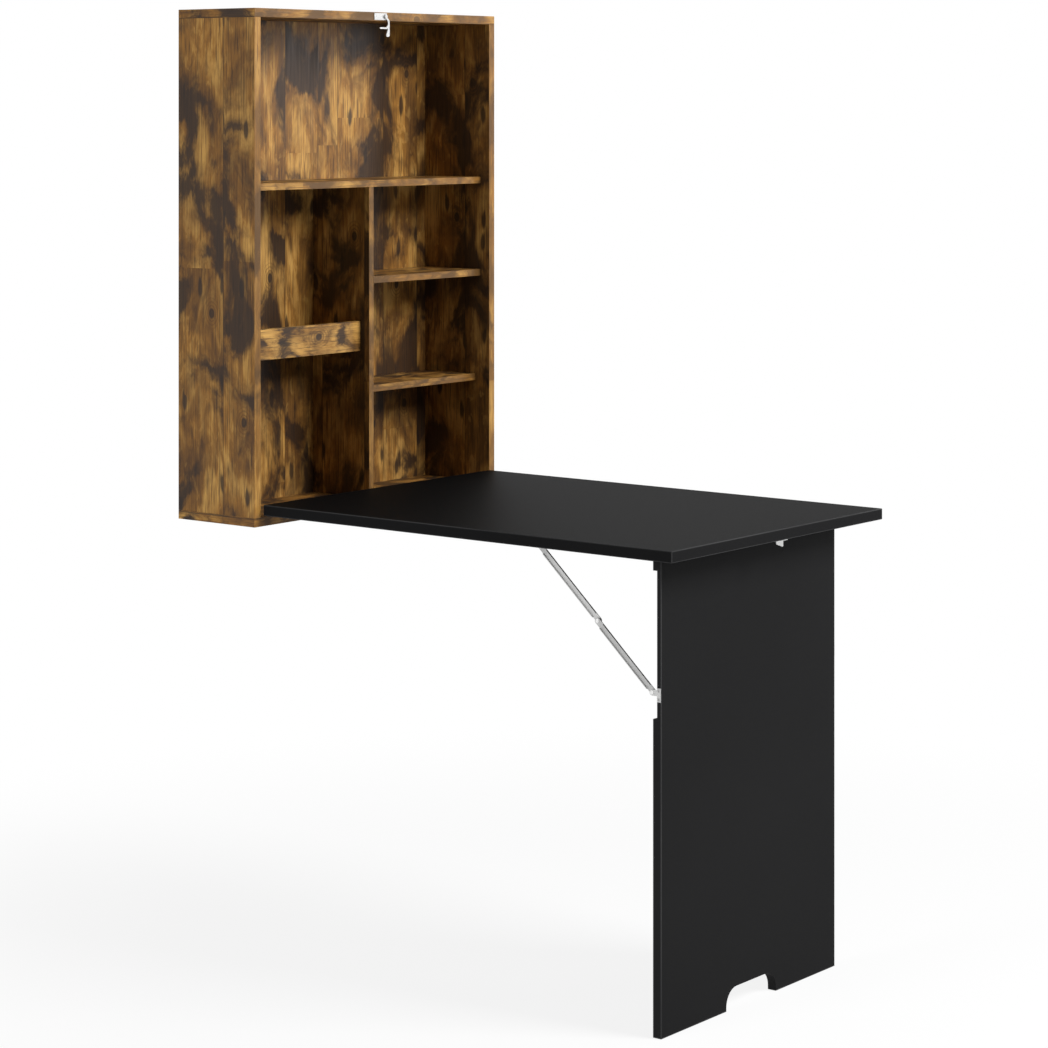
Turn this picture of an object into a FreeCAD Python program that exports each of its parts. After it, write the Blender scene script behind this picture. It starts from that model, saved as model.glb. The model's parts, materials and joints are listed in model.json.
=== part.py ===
import FreeCAD, Part
import os
import re
import Sketcher

# Fold down wall desk: a shallow wall cabinet with open shelves, a desktop that swings
# down out of its front, and a leg panel that unfolds under the desktop's free end on
# two folding stays. Millimetres, +Z up, +X to the right as one faces the desk, the wall
# at Y = 0 and the room towards -Y. The origin is the middle of the wall strip's row of
# screw holes, on the wall. The model stands with the desktop down and the leg out.

doc = FreeCAD.newDocument("fold_down_wall_desk")

# ---------------------------------------------------------------- driving dimensions

DIMENSIONS = [
    ("cabinet_width", 640, "outside width"),
    ("cabinet_height", 860, "outside height"),
    ("cabinet_depth", 175, "outside depth, wall to front"),
    ("board", 15, "thickness of the sides, top and bottom"),
    ("shelf_board", 12, "thickness of shelves, divider and retaining rail"),
    ("back_board", 6, "thickness of the back panel"),
    ("wall_gap", 18, "room behind the back panel for the hanging rails"),
    ("groove_depth", 6, "depth of the back panel's grooves"),
    ("groove_clear", 0.2, "play of the back panel in its grooves"),
    ("groove_bottom", 1, "room left at the bottom of each groove"),
    ("upper_shelf_height", 556, "underside of the upper shelf over the cabinet's foot"),
    ("middle_shelf_height", 388, "underside of the upper shelf in the right column"),
    ("low_shelf_height", 197, "underside of the lower shelf in the right column"),
    ("low_shelf_setback", 12, "how far the lower right shelf stands behind the others"),
    ("left_shelf_height", 270, "underside of the shelf in the left column"),
    ("rail_height", 52, "height of the retaining rail"),
    ("rail_setback", 20, "how far the rail stands behind the divider's front edge"),
    ("hanging_height", 60, "height of the cabinet's hanging rail at the wall"),
    ("strip_height", 50, "height of the wall strip at the wall"),
    ("strip_side_gap", 25, "how far the wall strip stops short of each side"),
    ("strip_hole_drop", 22, "screw row under the wall strip's sharp edge"),
    ("strip_hole_pitch", 160, "spacing of the wall strip's holes"),
    ("strip_hole_radius", 2.75, "wall screw hole"),
    ("strip_sink_radius", 5.5, "countersink of a wall screw hole"),
    ("strip_clear", 0.5, "play between the wall strip and the back panel"),
    ("bevel_clear", 0.2, "play between the two bevelled edges"),
    ("spacer_height", 50, "height of the lower spacer rail"),
    ("desk_thick", 18, "thickness of the desktop"),
    ("desk_top_gap", 3, "gap between the folded desktop's end and the top board"),
    ("desk_side_gap", 3, "gap between the desktop and each side when folded up"),
    ("desk_front_gap", 2, "gap between the folded desktop and the shelves"),
    ("desk_edge_radius", 1, "rounding of the desktop's edges"),
    ("desk_rise", 3, "gap between the desktop's underside and the bottom board"),
    ("desk_height", 750, "desktop surface over the floor"),
    ("leg_side_inset", 55, "leg's side edges inside the desktop's"),
    ("leg_thick", 15, "thickness of the leg panel"),
    ("leg_inset", 58, "leg's outer face behind the desktop's free end"),
    ("leg_top_gap", 0.3, "gap between the leg's top edge and the desktop"),
    ("foot_gap_width", 141, "width of the cut-out in the leg's foot"),
    ("foot_gap_height", 34, "height of the cut-out"),
    ("foot_gap_radius", 28, "radius of the cut-out's two upper corners"),
    ("notch_top", 24, "top of the stay's notch under the desktop"),
    ("notch_end_gap", 30, "notch's bottom beyond the stay's folded desktop pivot"),
    ("notch_side_gap", 2.4, "room between the folded stay and the notch's side"),
    ("link_fold_gap", 3.75, "room over and under a folded stay link"),
    ("desk_hinge_offset", 2, "desktop's hinge axis to each of its two seats"),
    ("desk_barrel_radius", 1.9, "barrel of the desktop's hinges"),
    ("desk_pin_radius", 0.95, "pin of the desktop's hinges"),
    ("leg_hinge_offset", 5, "leg's hinge axis to each of its two seats"),
    ("leg_barrel_radius", 3, "barrel of the leg's hinges"),
    ("leg_pin_radius", 1.5, "pin of the leg's hinges"),
    ("hinge_length", 50, "length of a hinge"),
    ("hinge_knuckle", 20, "length of a hinge's middle knuckle"),
    ("hinge_leaf", 1.2, "thickness of a hinge leaf"),
    ("hinge_leaf_width", 15, "leaf's reach from the hinge axis"),
    ("pin_clear", 0.05, "radial clearance of every pin"),
    ("knuckle_gap", 0.2, "gap between neighbouring knuckles"),
    ("desk_hinge_pitch", 220, "spacing of the desktop's hinges"),
    ("leg_hinge_pitch", 170, "spacing of the leg's hinges"),
    ("leaf_screw_pitch", 30, "spacing of the two screws in a leaf"),
    ("leaf_screw_reach", 9.5, "leaf screws from the hinge axis"),
    ("small_screw_radius", 1.4, "shank of the small screws"),
    ("small_head_radius", 2.8, "head of the small screws"),
    ("small_screw_length", 10, "length of the small screws"),
    ("stay_desk_reach", 219, "stay's desktop pivot from the leg's inner face"),
    ("stay_leg_drop", 209, "stay's leg pivot under the desktop"),
    ("link_width", 10, "width of a stay link"),
    ("link_sheet", 1.2, "sheet thickness of a stay link"),
    ("link_flange", 2.3, "height of a stay link's flanges"),
    ("link_flat", 11, "flat end of a link, from its pivot to its flanges"),
    ("link_gap", 0.5, "gap between the two links of a stay"),
    ("link_edge_gap", 0.4, "lower link inside the leg's side edge"),
    ("stay_pin_radius", 2, "radius of the stay's pivots"),
    ("stay_head_radius", 3.2, "head of the stay's pivots"),
    ("stay_head_thick", 0.9, "thickness of those heads"),
    ("bracket_sheet", 1.2, "sheet thickness of the stay's brackets"),
    ("bracket_gap", 0.5, "gap between a bracket's ear and its link"),
    ("leg_plate_height", 21, "height of the bracket's plate on the leg's edge"),
    ("leg_plate_drop", 3, "middle of that plate under the pivot"),
    ("leg_plate_edge", 0.5, "plate inside the thin edge, each way"),
    ("leg_screw_pitch", 13, "spacing of that plate's two screws"),
    ("desk_plate_width", 24, "width of the bracket's plate under the desktop"),
    ("desk_plate_length", 18, "length of that plate"),
    ("bracket_screw_pitch", 11, "spacing of that plate's two screws"),
    ("latch_plate_width", 33, "width of the latch plate"),
    ("latch_plate_height", 12, "height of the latch plate"),
    ("latch_sheet", 1.2, "thickness of the latch plate and keeper plate"),
    ("latch_pivot_offset", 12, "latch pivot to the right of the middle"),
    ("latch_pin_radius", 2, "radius of the latch pivot"),
    ("latch_head_radius", 3.4, "head of the latch pivot"),
    ("latch_head_thick", 1, "thickness of that head"),
    ("hook_gap", 0.3, "gap between the plate, the hook and the pivot's head"),
    ("hook_sheet", 1.5, "thickness of the latch hook"),
    ("hook_hub_radius", 4.2, "radius of the hook's hub"),
    ("hook_arm_width", 4, "width of the hook's arm"),
    ("hook_elbow_x", 7.5, "arm's elbow, right of the pivot"),
    ("hook_elbow_drop", 8.5, "arm's elbow, under the pivot"),
    ("hook_neck_x", 8, "where the arm divides, right of the pivot"),
    ("hook_neck_drop", 14, "where the arm divides, under the pivot"),
    ("hook_prong_width", 3, "width of the prong"),
    ("hook_bend_x", 1, "prong's bend, right of the pivot"),
    ("hook_prong_x", 16, "prong's tip, left of the pivot"),
    ("hook_prong_drop", 20, "prong's tip, under the pivot"),
    ("hook_tab_width", 10, "width of the finger tab's end"),
    ("hook_tab_x", 4.7, "tab's end, right of the pivot"),
    ("hook_tab_drop", 35, "tab's end, under the pivot"),
    ("hook_elbow_round", 5, "rounding of the arm's elbow"),
    ("hook_tab_round", 3, "rounding of the tab's end"),
    ("hook_tip_round", 1.4, "rounding of the prong's tip"),
    ("hook_inner_round", 1.2, "rounding of the hook's inner corners"),
    ("keeper_edge", 1, "keeper plate inside the desktop's free end"),
    ("keeper_left", 16, "low end of the keeper's tongue, left of the middle"),
    ("keeper_right", 4, "tall end of the keeper's tongue, right of the middle"),
    ("keeper_low_reach", 4.5, "height of the tongue's low end off the desktop"),
    ("keeper_reach", 11, "height of the tongue's tall end off the desktop"),
    ("keeper_round", 2, "rounding of the tongue's two free corners"),
    ("plate_screw_pitch", 24, "spacing of the keeper plate's screws"),
    ("carcass_screw_length", 50, "length of the carcass screws"),
    ("carcass_screw_radius", 3, "shank of the carcass screws"),
    ("carcass_head_radius", 5, "head of the carcass screws"),
    ("carcass_head_depth", 3, "depth of that head"),
    ("carcass_screw_inset", 35, "carcass screws from the front and the wall"),
    ("dowel_radius", 3, "radius of the shelf dowels"),
    ("dowel_length", 20, "length of the shelf dowels"),
    ("dowel_depth", 8, "how deep a shelf dowel goes into the upright"),
    ("dowel_clear", 0.05, "radial play round a dowel, screw or cam"),
    ("dowel_inset", 22, "shelf dowels from the shelf's front and back edges"),
    ("cam_radius", 6, "radius of a shelf cam"),
    ("cam_depth", 9, "depth of a shelf cam"),
    ("cam_inset", 24, "cam's middle from the shelf's end"),
    ("cam_bolt_radius", 2.2, "radius of a cam's bolt"),
]

sheet = doc.addObject("Spreadsheet::Sheet", "Dims")
for number, (alias, value, meaning) in enumerate(DIMENSIONS, start=1):
    sheet.set(f"A{number}", alias)
    sheet.set(f"B{number}", str(value))
    sheet.set(f"C{number}", meaning)
    sheet.setAlias(f"B{number}", alias)
doc.recompute()

ALIASES = {alias for alias, value, meaning in DIMENSIONS}
WORD = re.compile(r"[a-z][a-z_]*")


def linked(text):
    """The expression with each alias written as a cell of the sheet."""
    return WORD.sub(lambda found: f"Dims.{found[0]}" if found[0] in ALIASES else found[0], text)


# ------------------------------------------------------------------- derived places
# Each is an expression in the sheet's aliases. Heights are over the cabinet's foot
# until up() moves them to the origin.

ORIGIN_HEIGHT = "(cabinet_height - board - hanging_height - bevel_clear - strip_hole_drop)"
HALF = "(cabinet_width / 2)"
INNER = "(cabinet_width / 2 - board)"
TOP_UNDER = "(cabinet_height - board)"
FRONT = "(-cabinet_depth)"
BACK_REAR = "(-wall_gap)"
BACK_FACE = "(-wall_gap - back_board)"
SETBACK = "(desk_thick + desk_front_gap)"
SHELF_FRONT = f"({FRONT} + {SETBACK})"
SHELF_DEPTH = f"({BACK_FACE} - {SHELF_FRONT})"
LOW_FRONT = f"({SHELF_FRONT} + low_shelf_setback)"
RAIL_FRONT = f"({SHELF_FRONT} + rail_setback)"
RAIL_REAR = f"({RAIL_FRONT} + shelf_board)"
DIVIDER = "(shelf_board / 2)"

# The desktop lies desk_rise over the bottom board, and its rear face stands that same
# distance in front of the cabinet, so that it folds up flush with the front.
DESK_UNDER = "(board + desk_rise)"
DESK_TOP = f"({DESK_UNDER} + desk_thick)"
DESK_REAR = f"({FRONT} - desk_rise)"
DESK_LENGTH = "(cabinet_height - 2 * board - desk_rise - desk_top_gap)"
DESK_END = f"({DESK_REAR} - {DESK_LENGTH})"
DESK_HALF = f"({INNER} - desk_side_gap)"
DESK_AXIS_Y = f"({DESK_REAR} + desk_hinge_offset)"
DESK_AXIS_Z = "(board + desk_hinge_offset)"

LEG_OUTER = f"({DESK_END} + leg_inset)"
LEG_INNER = f"({LEG_OUTER} + leg_thick)"
LEG_HALF = f"({DESK_HALF} - leg_side_inset)"
LEG_AXIS_Y = f"({LEG_INNER} + leg_hinge_offset)"
LEG_AXIS_Z = f"({DESK_UNDER} - leg_hinge_offset)"
LEG_TOP = f"({DESK_UNDER} - leg_top_gap)"
FLOOR = f"({DESK_TOP} - desk_height)"

# Folded, leg and desktop lie twice the hinge offset apart. The links then lie in that
# gap and the notch, which together leave the same room over and under them.
FOLD_GAP = "(2 * leg_hinge_offset)"
LINK_DROP = "(link_width / 2 + link_fold_gap)"
NOTCH_DEPTH = f"(2 * {LINK_DROP} - {FOLD_GAP})"
NOTCH_BOTTOM = "(stay_desk_reach + notch_end_gap)"
DESK_PIVOT_Y = f"({LEG_INNER} + stay_desk_reach)"
DESK_PIVOT_Z = f"({DESK_UNDER} - {LINK_DROP})"
LEG_PIVOT_Y = f"({LEG_INNER} + {FOLD_GAP} - {LINK_DROP})"
LEG_PIVOT_Z = f"({DESK_UNDER} - stay_leg_drop)"
STAY_RUN = f"({DESK_PIVOT_Y} - {LEG_PIVOT_Y})"
STAY_RISE = f"({DESK_PIVOT_Z} - {LEG_PIVOT_Z})"
STAY_SPAN = f"sqrt({STAY_RUN} * {STAY_RUN} + {STAY_RISE} * {STAY_RISE})"
STAY_ANGLE = f"atan2({STAY_RISE}; {STAY_RUN})"
UPPER_LINK = f"(({STAY_SPAN} + stay_desk_reach - stay_leg_drop) / 2)"
LOWER_LINK = f"(({STAY_SPAN} - stay_desk_reach + stay_leg_drop) / 2)"
MIDDLE_PIVOT_Y = f"({DESK_PIVOT_Y} - {UPPER_LINK} * {STAY_RUN} / {STAY_SPAN})"
MIDDLE_PIVOT_Z = f"({DESK_PIVOT_Z} - {UPPER_LINK} * {STAY_RISE} / {STAY_SPAN})"

# Across the left stay, from the leg's side edge inwards: lower link, upper link, ear.
LOWER_WEB_X = f"(-{LEG_HALF} + link_edge_gap + link_flange)"
UPPER_WEB_X = f"({LOWER_WEB_X} + link_sheet + link_gap + link_flange)"
DESK_EAR_X = f"({UPPER_WEB_X} + link_sheet + bracket_gap)"
NOTCH_WIDTH = f"({DESK_EAR_X} + bracket_sheet + notch_side_gap + {LEG_HALF})"

LATCH_Z = "(cabinet_height - board / 2)"
PLATE_FRONT = f"({FRONT} - latch_sheet)"
HOOK_FRONT = f"({PLATE_FRONT} - hook_gap - hook_sheet)"


def up(height):
    """A height over the cabinet's foot, as a height in the model's frame."""
    return f"({height}) - {ORIGIN_HEIGHT}"


# ------------------------------------------------------------------ modelling helpers

AXES = {
    "x": FreeCAD.Rotation(FreeCAD.Vector(0, 1, 0), 90),
    "-x": FreeCAD.Rotation(FreeCAD.Vector(0, 1, 0), -90),
    "y": FreeCAD.Rotation(FreeCAD.Vector(1, 0, 0), -90),
    "-y": FreeCAD.Rotation(FreeCAD.Vector(1, 0, 0), 90),
    "z": FreeCAD.Rotation(),
    "-z": FreeCAD.Rotation(FreeCAD.Vector(1, 0, 0), 180),
}


def bind(thing, **sizes):
    """Ties each named property to its expression."""
    for name, text in sizes.items():
        thing.setExpression(name, linked(text))


def put(thing, x, y, z):
    """Puts a thing's base at a place in its own frame."""
    for letter, text in zip("xyz", (x, y, z)):
        thing.setExpression(f"Placement.Base.{letter}", linked(text))
    return thing


def move(thing, x, y, z):
    """Puts a thing's base at a place, with z over the cabinet's foot."""
    return put(thing, x, y, up(z))


def block(name, x, y, z, length, width, height, place=move):
    """A box from its lowest corner, with its sizes along X, Y and Z."""
    solid = doc.addObject("Part::Box", name)
    bind(solid, Length=length, Width=width, Height=height)
    return place(solid, x, y, z)


def rod(name, x, y, z, axis, radius, length, place=move):
    """A cylinder that starts at a point and runs along an axis."""
    solid = doc.addObject("Part::Cylinder", name)
    bind(solid, Radius=radius, Height=length)
    solid.Placement = FreeCAD.Placement(FreeCAD.Vector(), AXES[axis])
    return place(solid, x, y, z)


def taper(name, x, y, z, axis, radius, end_radius, length):
    """A cone that starts at a point and runs along an axis."""
    solid = doc.addObject("Part::Cone", name)
    bind(solid, Radius1=radius, Radius2=end_radius, Height=length)
    solid.Placement = FreeCAD.Placement(FreeCAD.Vector(), AXES[axis])
    return move(solid, x, y, z)


def union(name, solids):
    """One object of several solids, fused where they touch."""
    if len(solids) == 1:
        solids[0].Label = name
        return solids[0]
    fused = doc.addObject("Part::MultiFuse", name)
    fused.Shapes = solids
    return fused


def without(name, base, tools):
    """The base with every tool cut out of it."""
    if not tools:
        base.Label = name
        return base
    cut = doc.addObject("Part::Cut", name)
    cut.Base = base
    cut.Tool = union(f"{name}_tools", tools)
    return cut


def mirrored(name, source):
    """The source seen in the plane X = 0."""
    twin = doc.addObject("Part::Mirroring", name)
    twin.Source = source
    twin.Normal = FreeCAD.Vector(1, 0, 0)
    return twin


cuts = {}
nodes = {}


def drill(tool, *boards):
    """Notes a tool that is cut out of each of these pieces."""
    for board in boards:
        cuts.setdefault(board, []).append(tool)


def node(name, thing):
    """Makes a thing one of the model's pieces, after its noted cuts."""
    piece = without(name, thing, cuts.pop(name, []))
    piece.Label = name
    nodes[name] = piece
    return piece


# ------------------------------------------------------------------------- fasteners


def dowel(name, x, y, z, axis, length, *boards):
    """A wooden dowel, with its hole drilled in each board that it joins."""
    hole = rod(f"{name}_hole", x, y, z, axis, "dowel_radius + dowel_clear", length)
    drill(hole, *boards)
    return rod(name, x, y, z, axis, "dowel_radius", length)


def carcass_screw(name, x, y, z, axis, *boards):
    """A long screw whose head is flush with the outer face it is driven through."""
    spread = "dowel_clear"
    head_hole = taper(
        f"{name}_sink", x, y, z, axis,
        f"carcass_head_radius + {spread}", f"carcass_screw_radius + {spread}", "carcass_head_depth",
    )
    shank_hole = rod(
        f"{name}_hole", x, y, z, axis, f"carcass_screw_radius + {spread}", "carcass_screw_length"
    )
    drill(head_hole, *boards)
    drill(shank_hole, *boards)
    head = taper(
        f"{name}_head", x, y, z, axis,
        "carcass_head_radius", "carcass_screw_radius", "carcass_head_depth",
    )
    shank = rod(f"{name}_shank", x, y, z, axis, "carcass_screw_radius", "carcass_screw_length")
    return union(name, [head, shank])


def small_screw(name, x, y, z, axis, plate, *boards):
    """A countersunk screw, flush with a thin plate of the given thickness."""
    spread = "dowel_clear"
    sink = taper(
        f"{name}_sink", x, y, z, axis,
        f"small_head_radius + {spread}", f"small_screw_radius + {spread}", plate,
    )
    hole = rod(f"{name}_hole", x, y, z, axis, f"small_screw_radius + {spread}", "small_screw_length")
    drill(sink, *boards)
    drill(hole, *boards)
    head = taper(f"{name}_head", x, y, z, axis, "small_head_radius", "small_screw_radius", plate)
    shank = rod(f"{name}_shank", x, y, z, axis, "small_screw_radius", "small_screw_length")
    return union(name, [head, shank])


# --------------------------------------------------------------------------- cabinet


def carcass_screws():
    """Screws through the top and bottom boards into what stands between them."""
    screws = []
    front = f"{FRONT} + carcass_screw_inset"
    rear = "-carcass_screw_inset"
    side = f"{HALF} - board / 2"
    rail = "-wall_gap / 2"
    uprights = [
        (f"-({side})", front, "left_side"),
        (f"-({side})", rear, "left_side"),
        (side, front, "right_side"),
        (side, rear, "right_side"),
    ]
    rails = [(f"-{INNER} / 2", rail), ("0", rail), (f"{INNER} / 2", rail)]
    divider = [("0", f"{SHELF_FRONT} + dowel_inset"), ("0", f"{BACK_FACE} - dowel_inset")]
    for count, (x, y, board) in enumerate(uprights):
        screws.append(
            carcass_screw(f"top_screw_{count}", x, y, "cabinet_height", "-z", "top_board", board)
        )
        screws.append(carcass_screw(f"foot_screw_{count}", x, y, "0", "z", "bottom_board", board))
    for count, (x, y) in enumerate(rails):
        screws.append(
            carcass_screw(
                f"hanging_screw_{count}", x, y, "cabinet_height", "-z", "top_board", "hanging_rail"
            )
        )
        screws.append(
            carcass_screw(f"spacer_screw_{count}", x, y, "0", "z", "bottom_board", "spacer_rail")
        )
    for count, (x, y) in enumerate(divider):
        screws.append(
            carcass_screw(f"divider_screw_{count}", x, y, "0", "z", "bottom_board", "divider")
        )
    node("carcass_screws", union("carcass_screw_set", screws))


def shelf_ends():
    """Where each shelf meets an upright: its name, the face, the way in and the upright."""
    return [
        ("upper_shelf", f"-{INNER}", -1, "left_side", "upper_shelf_height", SHELF_FRONT),
        ("upper_shelf", INNER, 1, "right_side", "upper_shelf_height", SHELF_FRONT),
        ("right_upper_shelf", DIVIDER, -1, "divider", "middle_shelf_height", SHELF_FRONT),
        ("right_upper_shelf", INNER, 1, "right_side", "middle_shelf_height", SHELF_FRONT),
        ("right_lower_shelf", DIVIDER, -1, "divider", "low_shelf_height", LOW_FRONT),
        ("right_lower_shelf", INNER, 1, "right_side", "low_shelf_height", LOW_FRONT),
        ("left_shelf", f"-{INNER}", -1, "left_side", "left_shelf_height", RAIL_REAR),
        ("left_shelf", f"-{DIVIDER}", 1, "divider", "left_shelf_height", RAIL_REAR),
    ]


def shelf_joints():
    """Two dowels, a cam and its bolt at each end of each shelf."""
    dowels = []
    cams = []
    bolts = []
    for count, (shelf, face, way, upright, height, front) in enumerate(shelf_ends()):
        middle = f"{height} + shelf_board / 2"
        axis = "x" if way > 0 else "-x"
        start = f"{face} - {way} * (dowel_length - dowel_depth)"
        for place, y in enumerate([f"{front} + dowel_inset", f"{BACK_FACE} - dowel_inset"]):
            dowels.append(
                dowel(f"dowel_{count}_{place}", start, y, middle, axis, "dowel_length", shelf, upright)
            )
        y = f"({front} + {BACK_FACE}) / 2"
        cam_x = f"{face} - {way} * cam_inset"
        spread = "dowel_clear"
        cam = rod(f"cam_{count}_body", cam_x, y, height, "z", "cam_radius", "cam_depth")
        seat = rod(f"cam_{count}_seat", cam_x, y, height, "z", f"cam_radius + {spread}", "cam_depth")
        reach = "(cam_inset - cam_radius / 2 + dowel_depth)"
        bore = rod(
            f"bolt_{count}_hole", f"{face} - {way} * (cam_inset - cam_radius / 2)", y, middle,
            axis, f"cam_bolt_radius + {spread}", reach,
        )
        drill(seat, shelf)
        drill(bore, shelf, upright)
        cams.append(without(f"cam_{count}", cam, [bore]))
        bolts.append(
            rod(
                f"bolt_{count}", f"{face} - {way} * (cam_inset - cam_radius / 2)", y, middle,
                axis, "cam_bolt_radius", reach,
            )
        )
    for place, y in enumerate([f"{SHELF_FRONT} + dowel_inset", f"{BACK_FACE} - dowel_inset"]):
        foot = "upper_shelf_height - (dowel_length - dowel_depth)"
        dowels.append(
            dowel(f"divider_dowel_{place}", "0", y, foot, "z", "dowel_length", "divider", "upper_shelf")
        )
    rail_y = f"({RAIL_FRONT} + {RAIL_REAR}) / 2"
    for count, (face, way, upright) in enumerate(
        [(f"-{INNER}", -1, "left_side"), (f"-{DIVIDER}", 1, "divider")]
    ):
        axis = "x" if way > 0 else "-x"
        start = f"{face} - {way} * (dowel_length - dowel_depth)"
        for place, share in enumerate(["rail_height / 4", "3 * rail_height / 4"]):
            z = f"left_shelf_height + {share}"
            dowels.append(
                dowel(
                    f"rail_dowel_{count}_{place}", start, rail_y, z, axis, "dowel_length",
                    "retaining_rail", upright,
                )
            )
    node("shelf_dowels", union("shelf_dowel_set", dowels))
    node("shelf_cams", union("shelf_cam_set", cams))
    node("shelf_cam_bolts", union("shelf_bolt_set", bolts))


def back_grooves():
    """The groove that the back panel sits in, round the four carcass boards."""
    width = "back_board + groove_clear"
    y = f"{BACK_FACE} - groove_clear / 2"
    height = "cabinet_height - 2 * board"
    drill(
        block("left_groove", f"-{INNER} - groove_depth", y, "board", "groove_depth", width, height),
        "left_side",
    )
    drill(block("right_groove", INNER, y, "board", "groove_depth", width, height), "right_side")
    long_x = f"-{INNER} - groove_depth"
    long_size = f"2 * ({INNER} + groove_depth)"
    drill(block("top_groove", long_x, y, TOP_UNDER, long_size, width, "groove_depth"), "top_board")
    drill(
        block("foot_groove", long_x, y, "board - groove_depth", long_size, width, "groove_depth"),
        "bottom_board",
    )


def cabinet_boards():
    """Sides, top, bottom and the back panel."""
    height = "cabinet_height - 2 * board"
    for name, x in [("left_side", f"-{HALF}"), ("right_side", INNER)]:
        node(name, block(f"{name}_board", x, FRONT, "board", "board", "cabinet_depth", height))
    for name, z in [("top_board", TOP_UNDER), ("bottom_board", "0")]:
        node(
            name,
            block(f"{name}_board", f"-{HALF}", FRONT, z, "cabinet_width", "cabinet_depth", "board"),
        )
    tongue = "(groove_depth - groove_bottom)"
    node(
        "back_panel",
        block(
            "back_board_body", f"-{INNER} - {tongue}", BACK_FACE, f"board - {tongue}",
            f"2 * ({INNER} + {tongue})", "back_board", f"cabinet_height - 2 * (board - {tongue})",
        ),
    )


def shelves():
    """The shelves, the divider that carries them and the retaining rail."""
    node(
        "upper_shelf",
        block(
            "upper_shelf_board", f"-{INNER}", SHELF_FRONT, "upper_shelf_height",
            f"2 * {INNER}", SHELF_DEPTH, "shelf_board",
        ),
    )
    node(
        "divider",
        block(
            "divider_board", f"-{DIVIDER}", SHELF_FRONT, "board",
            "shelf_board", SHELF_DEPTH, "upper_shelf_height - board",
        ),
    )
    column = f"{INNER} - {DIVIDER}"
    for name, x, front, height in [
        ("right_upper_shelf", DIVIDER, SHELF_FRONT, "middle_shelf_height"),
        ("right_lower_shelf", DIVIDER, LOW_FRONT, "low_shelf_height"),
        ("left_shelf", f"-{INNER}", RAIL_REAR, "left_shelf_height"),
    ]:
        node(
            name,
            block(f"{name}_board", x, front, height, column, f"{BACK_FACE} - {front}", "shelf_board"),
        )
    node(
        "retaining_rail",
        block(
            "retaining_rail_board", f"-{INNER}", RAIL_FRONT, "left_shelf_height",
            column, "shelf_board", "rail_height",
        ),
    )


def beam(name, x, length, outline):
    """A beam along X with the given (y, z) outline, as a body with a sketch and a pad."""
    body = doc.addObject("PartDesign::Body", name)
    sketch = flat_sketch(body, f"{name}_section", "YZ_Plane", outline)
    pad = body.newObject("PartDesign::Pad", f"{name}_pad")
    pad.Profile = sketch
    bind(pad, Length=length)
    body.setExpression("Placement.Base.x", linked(x))
    return body


def flat_sketch(body, name, role, outline):
    """A closed sketch of straight edges on one of the body's own origin planes."""
    sketch = body.newObject("Sketcher::SketchObject", name)
    plane = next(part for part in body.Origin.OriginFeatures if part.Role == role)
    sketch.AttachmentSupport = (plane, "")
    sketch.MapMode = "FlatFace"
    draw_loop(sketch, outline)
    return sketch


def draw_loop(sketch, outline):
    """A closed run of lines, each corner held at its own two expressions."""
    count = len(outline)
    ring = [FreeCAD.Vector(number, number * number % 7, 0) for number in range(count)]
    for number in range(count):
        sketch.addGeometry(Part.LineSegment(ring[number], ring[(number + 1) % count]), False)
    for number in range(count):
        sketch.addConstraint(
            Sketcher.Constraint("Coincident", number, 2, (number + 1) % count, 1)
        )
    for number, corner in enumerate(outline):
        for kind, text in zip(("DistanceX", "DistanceY"), corner):
            held = sketch.addConstraint(Sketcher.Constraint(kind, -1, 1, number, 1, 1.0 + number))
            sketch.setExpression(f"Constraints[{held}]", linked(text))


def wall_rails():
    """The bevelled hanging rail, the wall strip that it hooks on, and the spacer rail."""
    edge = f"{TOP_UNDER} - hanging_height"
    node(
        "hanging_rail",
        beam(
            "hanging_rail_body", f"-{INNER}", f"2 * {INNER}",
            [
                ("0", up(edge)),
                ("0", up(TOP_UNDER)),
                (BACK_REAR, up(TOP_UNDER)),
                (BACK_REAR, up(f"{edge} + wall_gap")),
            ],
        ),
    )
    tip = f"{edge} - bevel_clear"
    face = "(wall_gap - strip_clear)"
    strip = beam(
        "wall_strip_body", f"-{INNER} + strip_side_gap", f"2 * ({INNER} - strip_side_gap)",
        [
            ("0", up(f"{tip} - strip_height")),
            ("0", up(tip)),
            (f"-{face}", up(f"{tip} + {face}")),
            (f"-{face}", up(f"{tip} - strip_height")),
        ],
    )
    row = ORIGIN_HEIGHT
    for count, step in enumerate([-1.5, -0.5, 0.5, 1.5]):
        x = f"{step} * strip_hole_pitch"
        drill(rod(f"strip_hole_{count}", x, "0", row, "-y", "strip_hole_radius", "wall_gap"), "wall_strip")
        sink = "(strip_sink_radius - strip_hole_radius)"
        drill(
            taper(
                f"strip_sink_{count}", x, f"-{face} + {sink}", row, "-y",
                "strip_hole_radius", "strip_sink_radius", sink,
            ),
            "wall_strip",
        )
    node("wall_strip", strip)
    node(
        "spacer_rail",
        block(
            "spacer_rail_board", f"-{INNER}", BACK_REAR, "board",
            f"2 * {INNER}", "wall_gap", "spacer_height",
        ),
    )


# ---------------------------------------------------------------------------- hinges


def span(axis, way, near, far):
    """The low end of a stretch that lies between near and far from an axis, on one side."""
    return f"{axis} + {near}" if way > 0 else f"{axis} - ({far})"


KNUCKLE_START = "((hinge_length - hinge_knuckle) / 2)"
KNUCKLE_END = "((hinge_length + hinge_knuckle) / 2)"
FIXED_KNUCKLES = [("0", KNUCKLE_START), (KNUCKLE_END, "hinge_length")]
MOVING_KNUCKLES = [(KNUCKLE_START, KNUCKLE_END)]


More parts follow.
